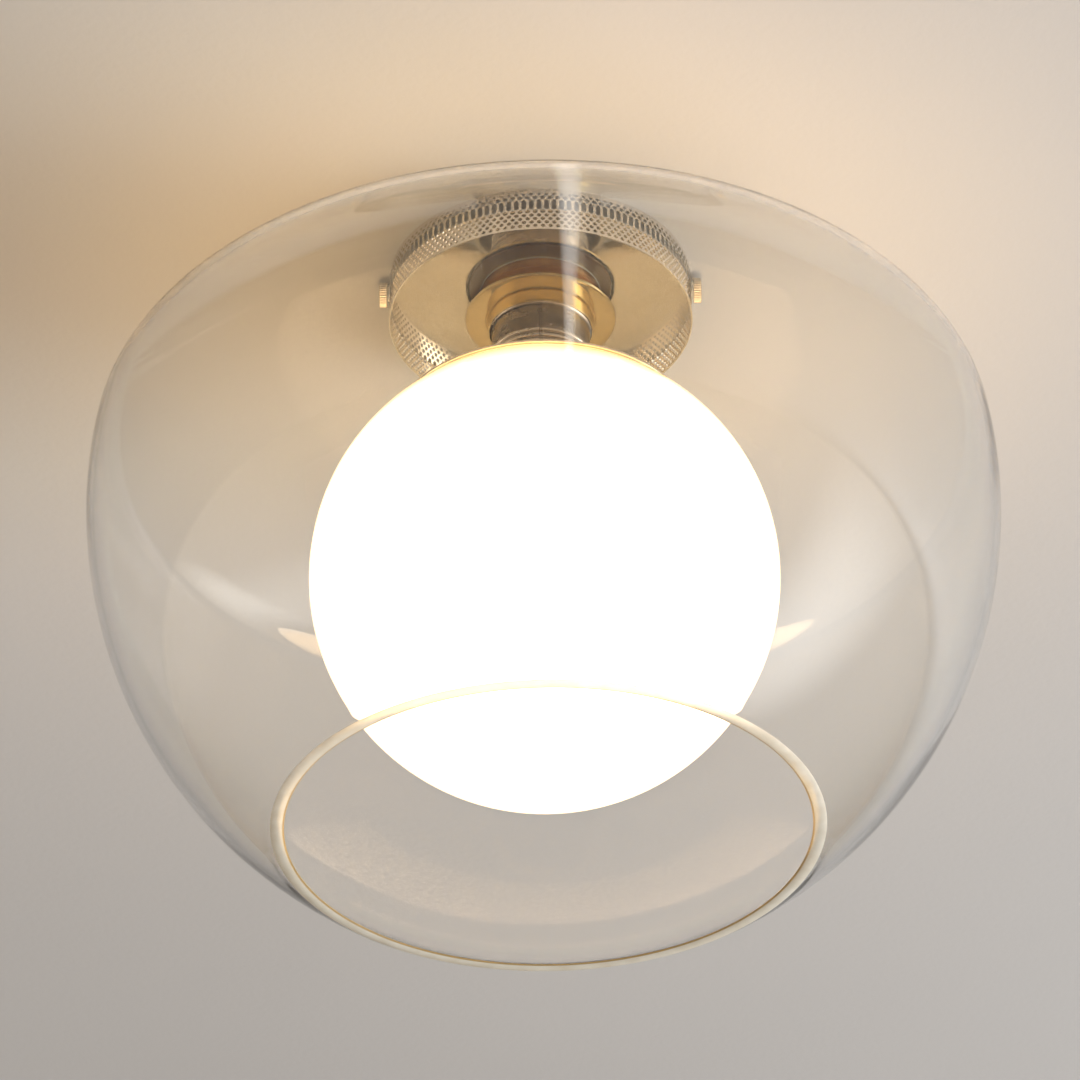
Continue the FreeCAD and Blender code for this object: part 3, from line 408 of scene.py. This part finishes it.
def lampholder_nickel():
    """Dull nickel on the threads, lighter towards their crests and darker towards their roots, with a double
    seam down its front.
    """
    f = Finish("lampholder_nickel", Metallic=1.0)
    reach = f.around()[1]
    crest_share = f.span(reach, 0.0, 1.0, (HOLDER["crest"] - HOLDER["depth"]) * MM, HOLDER["crest"] * MM)
    patch = f.math("ADD", f.math("MULTIPLY", crest_share, 0.68), f.math("MULTIPLY", f.noise(60.0, 3.0), 0.35))
    split = f.add("ShaderNodeSeparateXYZ", {0: f.place()}).outputs
    beside = f.math("ABSOLUTE", f.math("SUBTRACT", f.math("ABSOLUTE", split[0]), 0.0004))
    line = f.span(beside, 1.0, 0.0, 0.00006, 0.00022)
    seam = f.math("MULTIPLY", line, f.math("LESS_THAN", split[1], 0.0))
    shade = f.blend(patch, (0.40, 0.34, 0.27), (0.80, 0.74, 0.65))
    f.join(f.tinted(seam, shade, (0.16, 0.12, 0.09)), f.shader.inputs["Base Color"])
    f.rough(f.noise(130.0, 4.0, (1, 1, 2)), 0.14, 0.32)
    f.relief(f.noise(1.0, 3.0, (40, 40, 1800)), 0.000012)
    f.relief(f.noise(700.0, 2.0), 0.000004)
    return f.material


def blown_glass():
    """Clear blown glass: slow ripples, a few wipe marks, and light let through to what is behind."""
    f = Finish("blown_clear_glass", Base_Color=(0.985, 0.99, 0.985, 1), IOR=1.5, Transmission_Weight=1.0)
    f.rough(f.noise(22.0, 4.0, (1, 1, 0.4)), 0.0, 0.0008)
    f.relief(f.noise(7.0, 2.0, (1, 1, 0.5)), 0.0006)
    f.relief(f.noise(34.0, 1.0, (1, 1, 0.3)), 0.00003)
    path = f.add("ShaderNodeLightPath").outputs
    through = f.math("MAXIMUM", path["Is Shadow Ray"], path["Is Diffuse Ray"])
    clear = f.add("ShaderNodeBsdfTransparent", {0: (0.93, 0.94, 0.93, 1)}).outputs[0]
    f.seen_as(through, f.shader.outputs[0], clear)
    return f.material


def ground_glass(name, line):
    """Fine ground glass, pale and slightly warm; within the radius of the line it turns darker and golden, a
    painted reflection.
    """
    f = Finish(name, IOR=1.5, Transmission_Weight=0.3)
    pale = f.blend(f.noise(120.0, 4.0), (0.80, 0.74, 0.62), (0.90, 0.86, 0.76))
    # Painted reflection: a darker golden band inside the radius of the line.
    inner = f.span(f.around()[1], 1.0, 0.0, (line - 0.25) * MM, (line + 0.25) * MM)
    f.join(f.tinted(inner, pale, (0.50, 0.34, 0.13)), f.shader.inputs["Base Color"])
    f.rough(f.noise(500.0, 3.0), 0.28, 0.48)
    f.relief(f.noise(1500.0, 2.0), 0.00001)
    return f.material


def lit_opal():
    """White opal glass, lit from inside and dimmer under its cap."""
    f = Finish("lit_opal_glass", Emission_Strength=3.0, Coat_Weight=1.0, Coat_Roughness=0.03, IOR=1.5)
    cloud = f.noise(9.0, 3.0)
    f.colour(cloud, (0.94, 0.92, 0.87), (0.98, 0.965, 0.93))
    glow = f.blend(cloud, (1.0, 0.76, 0.50), (1.0, 0.80, 0.55))
    height = f.around()[2]
    # Painted shade: the glow colour turns dark towards the top of the globe, under the cap.
    shade_under_cap = f.span(height, 0.0, 1.0, -0.112, -0.079)
    f.join(f.tinted(shade_under_cap, glow, (0.09, 0.07, 0.04)), f.shader.inputs["Emission Color"])
    f.rough(f.noise(40.0, 3.0), 0.06, 0.14)
    f.relief(f.noise(12.0, 2.0), 0.00012)
    return f.material


def frosted_bulb():
    """Finely frosted glass of a warm lit bulb."""
    f = Finish("frosted_bulb_glass", Emission_Strength=2.0, IOR=1.5, Transmission_Weight=0.25)
    frost = f.noise(900.0, 3.0)
    f.colour(frost, (0.93, 0.91, 0.86), (0.97, 0.96, 0.93))
    f.join(f.blend(f.noise(30.0), (1.0, 0.78, 0.52), (1.0, 0.84, 0.62)), f.shader.inputs["Emission Color"])
    f.rough(frost, 0.35, 0.5)
    f.relief(frost, 0.000008)
    return f.material


def painted_ceiling():
    """Matt ceiling paint with a fine roller texture, seen only from the room side."""
    f = Finish("ceiling_paint", Specular_IOR_Level=0.0)
    f.colour(f.noise(1.6, 3.0), (0.495, 0.49, 0.495), (0.52, 0.515, 0.52))
    f.rough(f.noise(60.0), 0.75, 0.9)
    f.relief(f.noise(260.0, 4.0), 0.00012)
    see_through(f)
    return f.material


def pale_floor():
    """Matt pale floor with a slight unevenness."""
    f = Finish("pale_floor_paint")
    f.colour(f.noise(2.0, 3.0), (0.72, 0.67, 0.60), (0.76, 0.72, 0.66))
    f.rough(f.noise(30.0), 0.6, 0.8)
    f.relief(f.noise(90.0, 4.0), 0.0002)
    see_through(f)
    return f.material


def see_through(f):
    """Let the stage be looked through from its far side."""
    behind = f.add("ShaderNodeNewGeometry").outputs["Backfacing"]
    clear = f.add("ShaderNodeBsdfTransparent").outputs[0]
    f.seen_as(behind, f.shader.outputs[0], clear)


NICKEL = polished_nickel("polished_nickel", (0.69, 0.61, 0.49), (0.76, 0.69, 0.57))
# Painted light: a lighter copy of the same polished nickel, for the band.
LIT_BAND_NICKEL = polished_nickel("lit_copy_band_nickel", (0.86, 0.80, 0.72), (0.93, 0.89, 0.82))
# Painted reflection: a darker, golden copy of the same polished nickel, for the shade ring.
REFLECTION_TINTED_RING_NICKEL = polished_nickel("reflection_tinted_ring_nickel", (0.60, 0.48, 0.26), (0.66, 0.54, 0.32))
HOLDER_METAL = lampholder_nickel()
CLEAR = blown_glass()
RIM = ground_glass("ground_glass_rim", SHADE["rim_reflection_line"])
HOLE_EDGE = ground_glass("ground_glass_hole_edge", SHADE["hole"] - 1.0)
OPAL = lit_opal()
# Seat disc: the same bright nickel painted dark brown, painted shade of the gap under the plate.
SHADE_PAINTED_NICKEL = turned_metal("painted_shade_nickel", (0.34, 0.155, 0.05), (0.20, 0.09, 0.03), 0.25, 0.4, 0.000004)
ZINC = turned_metal("zinc_plate", (0.70, 0.71, 0.70), (0.56, 0.57, 0.55), 0.24, 0.42, 0.000006)
BRASS = turned_metal("plain_brass", (0.86, 0.66, 0.32), (0.72, 0.53, 0.24), 0.16, 0.32, 0.000006)
BULB_METAL = turned_metal("bulb_cap_metal", (0.82, 0.82, 0.80), (0.68, 0.68, 0.67), 0.18, 0.34, 0.000005)
PORCELAIN = moulded("glazed_porcelain", (0.90, 0.88, 0.83), (0.84, 0.81, 0.75), 0.12, 0.24, 0.00001,
                    grain=220.0, Coat_Weight=0.6, Coat_Roughness=0.08)
NYLON = moulded("natural_nylon", (0.90, 0.90, 0.87), (0.82, 0.82, 0.78), 0.4, 0.55, 0.00001)
# Lower seal: silicone with an amber tone, made deeper than its own pale colour as painted warm light.
AMBER_WARM_LIT_SILICONE = moulded("amber_warm_lit_silicone_rubber", (0.80, 0.45, 0.19), (0.68, 0.36, 0.14), 0.4, 0.6, 0.00001)
SILICONE = moulded("milky_silicone_rubber", (0.88, 0.86, 0.80), (0.80, 0.77, 0.70), 0.45, 0.62, 0.00001,
                   Subsurface_Weight=0.15)
VITRITE = moulded("black_bulb_glass", (0.035, 0.033, 0.035), (0.015, 0.014, 0.016), 0.08, 0.2, 0.000008)
FROSTED = frosted_bulb()


# Pieces of the light

def keep(obj, finish, body, slot, *nodes):
    """Give a piece its finish, its body and the solids it stands for."""
    obj.data.materials.clear()
    obj.data.materials.append(finish)
    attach(obj, body)
    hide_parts(*nodes)
    return obj


def welded(name, parts):
    """Join meshes that share their edges into one closed sheet."""
    bpy.ops.object.select_all(action="DESELECT")
    for part in parts:
        part.select_set(True)
    bpy.context.view_layer.objects.active = parts[0]
    bpy.ops.object.join()
    obj = bpy.context.view_layer.objects.active
    obj.name = obj.data.name = name
    weld = obj.modifiers.new("weld", "WELD")
    weld.merge_threshold = 0.00002
    return obj


def applied(obj, sharp=35.0):
    """Turn an object's modifiers into its mesh."""
    graph = bpy.context.evaluated_depsgraph_get()
    mesh = bpy.data.meshes.new_from_object(obj.evaluated_get(graph))
    obj.modifiers.clear()
    obj.data = mesh
    mesh.shade_smooth()
    mesh.set_sharp_from_angle(angle=math.radians(sharp))
    return obj


def perforated_band():
    """The canopy's band: seven rows of round holes and one of tall slots, between plain edges."""
    tree = perforated_row_tree()
    pitch = 2 * math.pi * (BAND["radius"] - BAND["wall"]) / BAND["columns"]
    rows = [(0.0, 0.85, 0.4, 0.0, 0.0), (0.85, 2.75, 1.8, 0.84, 0.0), (2.75, 4.6, 3.68, 0.86, 0.0),
            (4.6, 6.45, 5.52, 0.87, 0.0), (6.45, 8.35, 7.4, 0.88, 0.0), (8.35, 10.5, 9.43, 1.0, 0.0),
            (10.5, 16.15, 13.3, 0.95, 1.78), (16.15, 18.35, 17.25, 0.98, 0.0),
            (18.35, 20.0, 19.17, 0.72, 0.0), (20.0, 22.0, 21.0, 0.0, 0.0)]
    parts = []
    for number, (low, high, height, radius, stretch) in enumerate(rows):
        blank = mesh_object("row_%d" % number, [(0, 0, 0)], [])
        bare = 0.0
        if not radius:
            bare = 2 * BAND["radius"]
        elif low > BAND["screw_rows"]:
            bare = BAND["bare_half"]
        sizes = {"pitch": pitch * MM, "count": float(BAND["columns"]), "low": low * MM, "high": high * MM,
                 "hole_height": height * MM, "hole_radius": max(radius, 0.3) * MM,
                 "hole_stretch": stretch * MM, "shift": 0.5 * (number % 2), "bare_half": bare * MM,
                 "radius": (BAND["radius"] - BAND["wall"]) * MM, "foot": BAND["foot"] * MM}
        parts.append(grown(tree, blank, LIT_BAND_NICKEL, **sizes))
    band = welded("perforated_band", parts)
    skin = band.modifiers.new("wall", "SOLIDIFY")
    skin.thickness, skin.offset = BAND["wall"] * MM, 1.0
    return keep(applied(band, 40.0), LIT_BAND_NICKEL, "fixed", "bright_nickel", "canopy_band")


def mirror_plate():
    """Flat plate inside the band, with a small round at its edge and a hole for the threaded tube."""
    p = PLATE
    outline = [(p["hole"], p["over"]), (p["radius"], p["over"])]
    outline += [(p["radius"], p["under"]), (p["hole"], p["under"])]
    piece = turned("mirror_plate", softened(outline, (0.1, 0.3, 0.45, 0.1)), 256)
    return keep(piece, NICKEL, "fixed", "bright_nickel", "canopy_plate")


def thumb_screws():
    """Knurled heads with a chamfered face, and the plain shank behind."""
    h = THUMB
    tree = knurled_tree()
    place = (0, 0, h["height"])
    for axis, name in (("-x", "left"), ("x", "right")):
        outline = [(0, 64.1), (4.1, 64.1), (4.85, 64.0), (h["head"], 63.75)]
        outline += [(h["head"], 63.75 - 0.25 * k) for k in range(1, 11)]
        outline += [(h["head"], h["foot"] + 0.25), (h["head"] - 0.25, h["foot"]), (h["shank"], h["foot"])]
        outline += [(h["shank"], h["end"] + 0.4), (h["shank"] - 0.4, h["end"]), (0, h["end"])]
        head = turned("knurled_screw_" + name, outline, 240, axis, place, closed=False)
        grown(tree, head, NICKEL, count=h["grooves"], depth=h["depth"] * MM, rim=(h["head"] - 0.45) * MM,
              height=h["height"] * MM)
        head.data.set_sharp_from_angle(angle=math.radians(40))
        keep(head, NICKEL, "screw_" + name, "bright_nickel", "thumb_screw_" + name)
        ring = [(2.2, h["foot"]), (4.0, h["foot"]), (4.0, BAND["radius"]), (2.2, BAND["radius"])]
        washer = turned("screw_washer_" + name, softened(ring, (0.1, 0.25, 0.1, 0.1)), 96, axis, place)
        keep(washer, ZINC, "washer_" + name, "zinc_steel", "thumb_washer_" + name)


def lampholder():
    """Threaded holder with a smooth waist: helical ridges above and below it."""
    h = HOLDER
    root = h["crest"] - h["depth"]
    outer = [(root, z) for z in np.arange(h["top"] - 0.6, h["mouth"] + 0.5, -0.18)]
    outline = [(5.2, h["top"]), (root - 0.5, h["top"])] + outer + [(root - 0.4, h["mouth"])]
    lid = h["top"] - 2.4
    outline += [(h["bore"] + 0.2, h["mouth"]), (h["bore"], h["mouth"] + 0.3), (h["bore"], lid), (5.2, lid)]
    holder = turned("threaded_lampholder", outline, 144)
    tree = threaded_tree()
    for top, end in ((-17.2, -29.8), (-39.0, -73.0)):
        grown(tree, holder, HOLDER_METAL, pitch=h["pitch"] * MM, depth=h["depth"] * MM,
              root=(root - 0.1) * MM, top=top * MM, end=end * MM, fade=1.5 * MM)
    holder.data.set_sharp_from_angle(angle=math.radians(50))
    return keep(holder, HOLDER_METAL, "fixed", "holder_nickel", "holder_body")


def shade_ring():
    """Flat flange with a rolled lip, and a short collar below it."""
    outline = [(20.1, -21.13), (29.2, -21.13), (29.6, -21.5), (29.55, -22.3), (29.0, -22.43), (28.4, -22.2),
               (21.7, -22.35), (21.45, -21.95), (21.0, -21.95), (20.8, -22.5), (20.8, -28.3), (20.7, -28.43),
               (20.2, -28.43), (20.1, -28.3)]
    cuts = (0.1, 0.2, 0.3, 0.3, 0.25, 0.3, 0.15, 0.1, 0.1, 0.15, 0.05, 0.05, 0.05, 0.05)
    piece = turned("flanged_shade_ring", softened(outline, cuts), 256, sharp=50)
    return keep(piece, REFLECTION_TINTED_RING_NICKEL, "ring", "bright_nickel", "shade_ring")


def seals():
    """Soft rings over and under the glass, at its hole."""
    rings = (("upper_seal", 19.5, 23.8, -15.5, -16.55, "fixed", SILICONE),
             ("lower_seal", 21.0, 28.0, -20.33, -21.13, "shade", AMBER_WARM_LIT_SILICONE))
    for name, bore, out, over, under, body, finish in rings:
        outline = [(bore, over), (out, over), (out, under), (bore, under)]
        piece = turned(name + "_ring", softened(outline, (0.2, 0.35, 0.35, 0.2)), 160)
        keep(piece, finish, body, "pale_silicone", name)


def globe_cap():
    """Shallow cone over the globe, with a turned rim and the collar that holds its neck."""
    outline = [(20.1, -52.6), (27.0, -52.6), (58.5, -76.0), (58.5, -76.9), (57.7, -76.9), (57.3, -76.2),
               (28.4, -54.7), (28.2, -58.6), (26.3, -58.6), (26.3, -53.4), (20.1, -53.4)]
    cuts = (0.1, 2.0, 0.7, 0.35, 0.3, 0.3, 0.3, 0.2, 0.2, 0.3, 0.1)
    piece = turned("globe_cap_cone", softened(outline, cuts, 6), 256, sharp=50)
    return keep(piece, NICKEL, "fixed", "bright_nickel", "globe_cap")


def opal_globe():
    """Hollow ball with a short neck that has one rounded thread."""
    g = GLOBE
    inner = g["radius"] - g["wall"]
    tilt = math.degrees(math.acos(g["neck"] / g["radius"]))
    tilt_in = math.degrees(math.acos(g["bore"] / inner))
    outer = arc_points((0, g["centre"]), g["radius"], tilt, -90, 110)
    inside = arc_points((0, g["centre"]), inner, -90, tilt_in, 80)
    neck = [(g["bore"] + 0.2, g["top"]), (g["neck"] - 0.3, g["top"]), (g["neck"], g["top"] - 0.4)]
    neck += [(g["neck"], -55.3), (26.0, -55.7), (26.0, -56.5), (g["neck"], -56.9)]
    piece = turned("opal_globe_glass", neck + outer + inside + [(g["bore"], g["top"] - 0.3)], 200, sharp=50)
    return keep(piece, OPAL, "globe", "opal_glass", "opal_globe")


def meeting_centre(first, reach_first, second, reach_second):
    """Centre of the round that touches two arcs, on the outer side."""
    dx, dz = second[0] - first[0], second[1] - first[1]
    span = math.hypot(dx, dz)
    along = (reach_first ** 2 - reach_second ** 2 + span ** 2) / (2 * span)
    off = math.sqrt(reach_first ** 2 - along ** 2)
    foot = (first[0] + along * dx / span, first[1] + along * dz / span)
    return max((foot[0] + turn * off * dz / span, foot[1] - turn * off * dx / span) for turn in (-1, 1))


def shade_line(inset, top_steps, shoulder_steps, side_steps):
    """Dome, shoulder and side of one face of the glass, from the hole to the foot."""
    s = SHADE
    dome = (0.0, s["apex"] - s["dome"])
    side = (s["side_r"], s["side_z"])
    middle = meeting_centre(side, s["side"] - s["shoulder"], dome, s["dome"] - s["shoulder"])

    def heading(a, b):
        return math.degrees(math.atan2(b[1] - a[1], b[0] - a[0]))

    start = math.degrees(math.acos(s["hole"] / (s["dome"] - inset)))
    first, second = heading(dome, middle), heading(side, middle)
    last = math.degrees(math.asin((s["foot"] - s["side_z"]) / (s["side"] - inset)))
    points = arc_points(dome, s["dome"] - inset, start, first, top_steps)
    points += arc_points(middle, s["shoulder"] - inset, first, second, shoulder_steps)[1:]
    points += arc_points(side, s["side"] - inset, second, last, side_steps)[1:]
    return points


def clear_shade():
    """Blown shade with a fire-polished hole and a ground foot."""
    outer = shade_line(0.0, 24, 14, 60)
    inner = shade_line(SHADE["wall"], 24, 14, 60)[::-1]
    foot_out, foot_in = outer[-1], inner[0]
    bevel = [(foot_out[0] * 0.998, SHADE["foot"]), (foot_in[0] + 0.3, SHADE["foot"])]
    outer[-1] = (foot_out[0] + 0.25, foot_out[1] + 0.4)
    inner[0] = (foot_in[0] + 0.02, foot_in[1] + 0.35)
    hole = [(SHADE["hole"], inner[-1][1] + 0.4), (SHADE["hole"], outer[0][1] - 0.4)]
    outer[0] = (SHADE["hole"] + 0.4, outer[0][1])
    inner[-1] = (SHADE["hole"] + 0.4, inner[-1][1])
    piece = turned("clear_glass_shade", outer + bevel + inner + hole, 288, sharp=60)
    piece.data.materials.append(CLEAR)
    piece.data.materials.append(RIM)
    piece.data.materials.append(HOLE_EDGE)
    for face in piece.data.polygons:
        corners = [piece.data.vertices[v].co for v in face.vertices]
        if max(corner.z for corner in corners) < (SHADE["foot"] + 0.5) * MM:
            face.material_index = 1
        elif max(corner.xy.length for corner in corners) < (SHADE["hole"] + 0.5) * MM:
            face.material_index = 2
    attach(piece, "shade")
    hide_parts("clear_shade")
    return piece


def dress_solids():
    """Finishes of the solids that stay as they are."""
    chosen = {
        "crossbar": ZINC, "threaded_tube": ZINC, "lock_washer": ZINC, "locknut": ZINC,
        "earth_screw": BRASS, "terminal_screws": BRASS, "screw_shell": BRASS, "centre_contact": BRASS,
        "seat_disc": SHADE_PAINTED_NICKEL, "upper_lock_ring": NICKEL, "lower_lock_ring": NICKEL,
        "holder_core": PORCELAIN, "tube_bushing": NYLON, "neck_seal": SILICONE,
        "bulb_glass": FROSTED, "bulb_base": BULB_METAL, "bulb_tip": BULB_METAL, "bulb_insulator": VITRITE,
    }
    for name, finish in chosen.items():
        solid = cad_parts[name]
        if not solid.material_slots:
            solid.data.materials.append(finish)
        for slot in solid.material_slots:
            slot.material = finish


# Ceiling, floor, lights and camera

def sheet_of_stage(name, height, half, finish, upwards):
    """A square sheet of the room at a height in millimetres, facing up or down."""
    corners = [(-half, -half, height), (half, -half, height), (half, half, height), (-half, half, height)]
    sheet = mesh_object(name, corners, [(0, 1, 2, 3) if upwards else (3, 2, 1, 0)])
    sheet.data.materials.append(finish)


class Sky(Finish):
    """The soft room around the light, made of an even tone and soft-edged panels."""

    def __init__(self, name):
        self.material = bpy.data.worlds.new(name)
        self.material.use_nodes = True
        self.nodes = self.material.node_tree.nodes
        source = self.add("ShaderNodeTexCoord").outputs["Generated"]
        split = self.add("ShaderNodeSeparateXYZ", {0: source}).outputs
        self.azimuth = self.math("ARCTAN2", split[0], self.math("MULTIPLY", split[1], -1.0))
        self.elevation = self.math("ARCSINE", split[2])
        self.total = None

    def hill(self, value, centre, half):
        """A soft bump, one at its centre and nothing beyond its half width, in degrees."""
        off = self.math("DIVIDE", self.math("SUBTRACT", value, math.radians(centre)), math.radians(half))
        base = self.math("MAXIMUM", self.math("SUBTRACT", 1.0, self.math("MULTIPLY", off, off)), 0.0)
        return self.math("POWER", base, 1.5)

    def tone(self, colour, share=1.0):
        scaled = self.add("ShaderNodeVectorMath", {0: colour}, operation="SCALE")
        if isinstance(share, bpy.types.NodeSocket):
            self.join(share, scaled.inputs["Scale"])
        else:
            scaled.inputs["Scale"].default_value = share
        if self.total is None:
            self.total = scaled.outputs[0]
        else:
            self.total = self.add("ShaderNodeVectorMath", {0: self.total, 1: scaled.outputs[0]}).outputs[0]

    def panel(self, colour, azimuth, half_width, elevation, half_height):
        across = self.azimuth
        if azimuth > 90:
            turned_on = self.math("ADD", across, 2 * math.pi)
            behind = self.math("LESS_THAN", across, math.radians(azimuth - 180))
            across = self.add("ShaderNodeMix", {0: behind, 2: across, 3: turned_on}).outputs[0]
        share = self.math("MULTIPLY", self.hill(across, azimuth, half_width),
                          self.hill(self.elevation, elevation, half_height))
        self.tone(colour, share)

    def shown_as(self, backdrop):
        """The eye, and the eye through glass, see a plain backdrop; metal and paint see the room."""
        path = self.add("ShaderNodeLightPath").outputs
        unturned = self.math("LESS_THAN", path["Glossy Depth"], 0.5)
        through = self.math("MULTIPLY", path["Is Transmission Ray"], unturned)
        seen = self.math("MAXIMUM", path["Is Camera Ray"], through)
        self.join(self.tinted(seen, self.total, backdrop), self.nodes["Background"].inputs[0])


def soft_room():
    """Azimuth 0 is the camera's side and 90 is the right; every panel has soft edges."""
    sky = Sky("soft_room")
    sky.tone((0.20, 0.14, 0.075))
    sky.panel((0.08, 0.06, 0.02), 180, 70, -38, 50)
    sky.panel((0.58, 0.52, 0.44), 262, 45, -20, 60)
    sky.panel((0.26, 0.26, 0.27), 0, 100, -55, 35)
    sky.panel((0.6, 0.58, 0.55), 95, 55, -20, 60)
    sky.panel((2.6, 2.57, 2.5), 90, 20, -30, 40)
    sky.panel((2.4, 2.35, 2.25), 6.2, 1.4, -4, 20)
    sky.shown_as((0.80, 0.78, 0.75))
    bpy.context.scene.world = sky.material


def hidden_lamp(name, kind, at, power, colour, **settings):
    """A lamp that lights paint and porcelain, but that no metal or glass shows."""
    lamp = bpy.data.lights.new(name, kind)
    lamp.energy, lamp.color = power, colour
    for key, value in settings.items():
        setattr(lamp, key, value)
    obj = bpy.data.objects.new(name, lamp)
    obj.location = at
    obj.visible_glossy = obj.visible_transmission = obj.visible_camera = False
    bpy.context.scene.collection.objects.link(obj)
    return obj


def daylight_strip():
    """A narrow soft-edged streak of light along the ceiling, seen only as a gleam in glass and metal."""
    f = Finish("daylight_streak", Base_Color=(0, 0, 0, 1), Emission_Strength=7.0)
    f.shader.inputs["Emission Color"].default_value = (1.0, 0.98, 0.94, 1)
    split = f.add("ShaderNodeSeparateXYZ", {0: f.place()}).outputs
    middle = f.math("MAXIMUM", f.math("SUBTRACT", -0.0047, f.math("MULTIPLY", split[1], 0.1086)), 0.0135)
    half = f.math("SUBTRACT", 0.0055, f.math("MULTIPLY", split[1], 0.0175))
    off = f.math("DIVIDE", f.math("SUBTRACT", split[0], middle), half)
    edge = f.math("MAXIMUM", f.math("SUBTRACT", 1.0, f.math("MULTIPLY", off, off)), 0.0)
    fade = f.span(split[1], 1.0, 0.0, -0.26, -0.14)
    clear = f.add("ShaderNodeBsdfTransparent").outputs[0]
    f.seen_as(f.math("MULTIPLY", edge, fade), clear, f.shader.outputs[0])
    corners = [(-20.0, -80.0, -3.0), (40.0, -80.0, -3.0), (370.0, -2990.0, -3.0), (270.0, -2990.0, -3.0)]
    strip = mesh_object("daylight_streak", corners, [(0, 1, 2, 3)])
    strip.data.materials.append(f.material)
    strip.visible_camera = strip.visible_shadow = False
    strip.visible_diffuse = strip.visible_transmission = False


def room():
    """Ceiling, floor, surroundings and the lamps of the stage."""
    sheet_of_stage("ceiling", 0.0, 3000.0, painted_ceiling(), False)
    sheet_of_stage("floor", -2400.0, 1500.0, pale_floor(), True)
    soft_room()
    hidden_lamp("globe_glow", "POINT", (0, 0, GLOBE["centre"] * MM), 1.2, (1.0, 0.58, 0.22),
                shadow_soft_size=0.0895, use_soft_falloff=False)
    below = hidden_lamp("soft_panel", "AREA", (0.6, 0, -2.3), 9.4, (0.72, 0.86, 1.0), shape="DISK", size=2.2)
    below.rotation_euler = (math.pi, 0, 0)
    window = hidden_lamp("side_window", "AREA", (1.75, 0.25, -1.05), 29.6, (0.93, 0.97, 1.0),
                         shape="RECTANGLE", size=0.9, size_y=1.2)
    window.rotation_euler = (-window.location).to_track_quat("-Z", "Y").to_euler()
    daylight_strip()


def set_camera():
    """The photograph's view: from below and in front, with a long lens."""
    rise, roll, yaw = 0.607, -0.015, -0.001
    ahead = Vector((math.sin(yaw) * math.cos(rise), math.cos(yaw) * math.cos(rise), math.sin(rise)))
    right = Vector((math.cos(yaw), -math.sin(yaw), 0))
    up = right.cross(ahead)
    across = right * math.cos(roll) + up * math.sin(roll)
    upright = up * math.cos(roll) - right * math.sin(roll)
    data = bpy.data.cameras.new("photograph_view")
    data.lens, data.sensor_width = 166.67, 36.0
    data.clip_start, data.clip_end = 0.05, 50.0
    camera = bpy.data.objects.new("photograph_view", data)
    turn = Matrix((across, upright, -ahead)).transposed().to_4x4()
    camera.matrix_world = Matrix.Translation((0.0, -1.5604, -1.2109)) @ turn
    bpy.context.scene.collection.objects.link(camera)
    bpy.context.scene.camera = camera


perforated_band()
mirror_plate()
thumb_screws()
lampholder()
shade_ring()
seals()
globe_cap()
opal_globe()
clear_shade()
dress_solids()
room()
set_camera()
bpy.context.scene.view_settings.view_transform = "Standard"
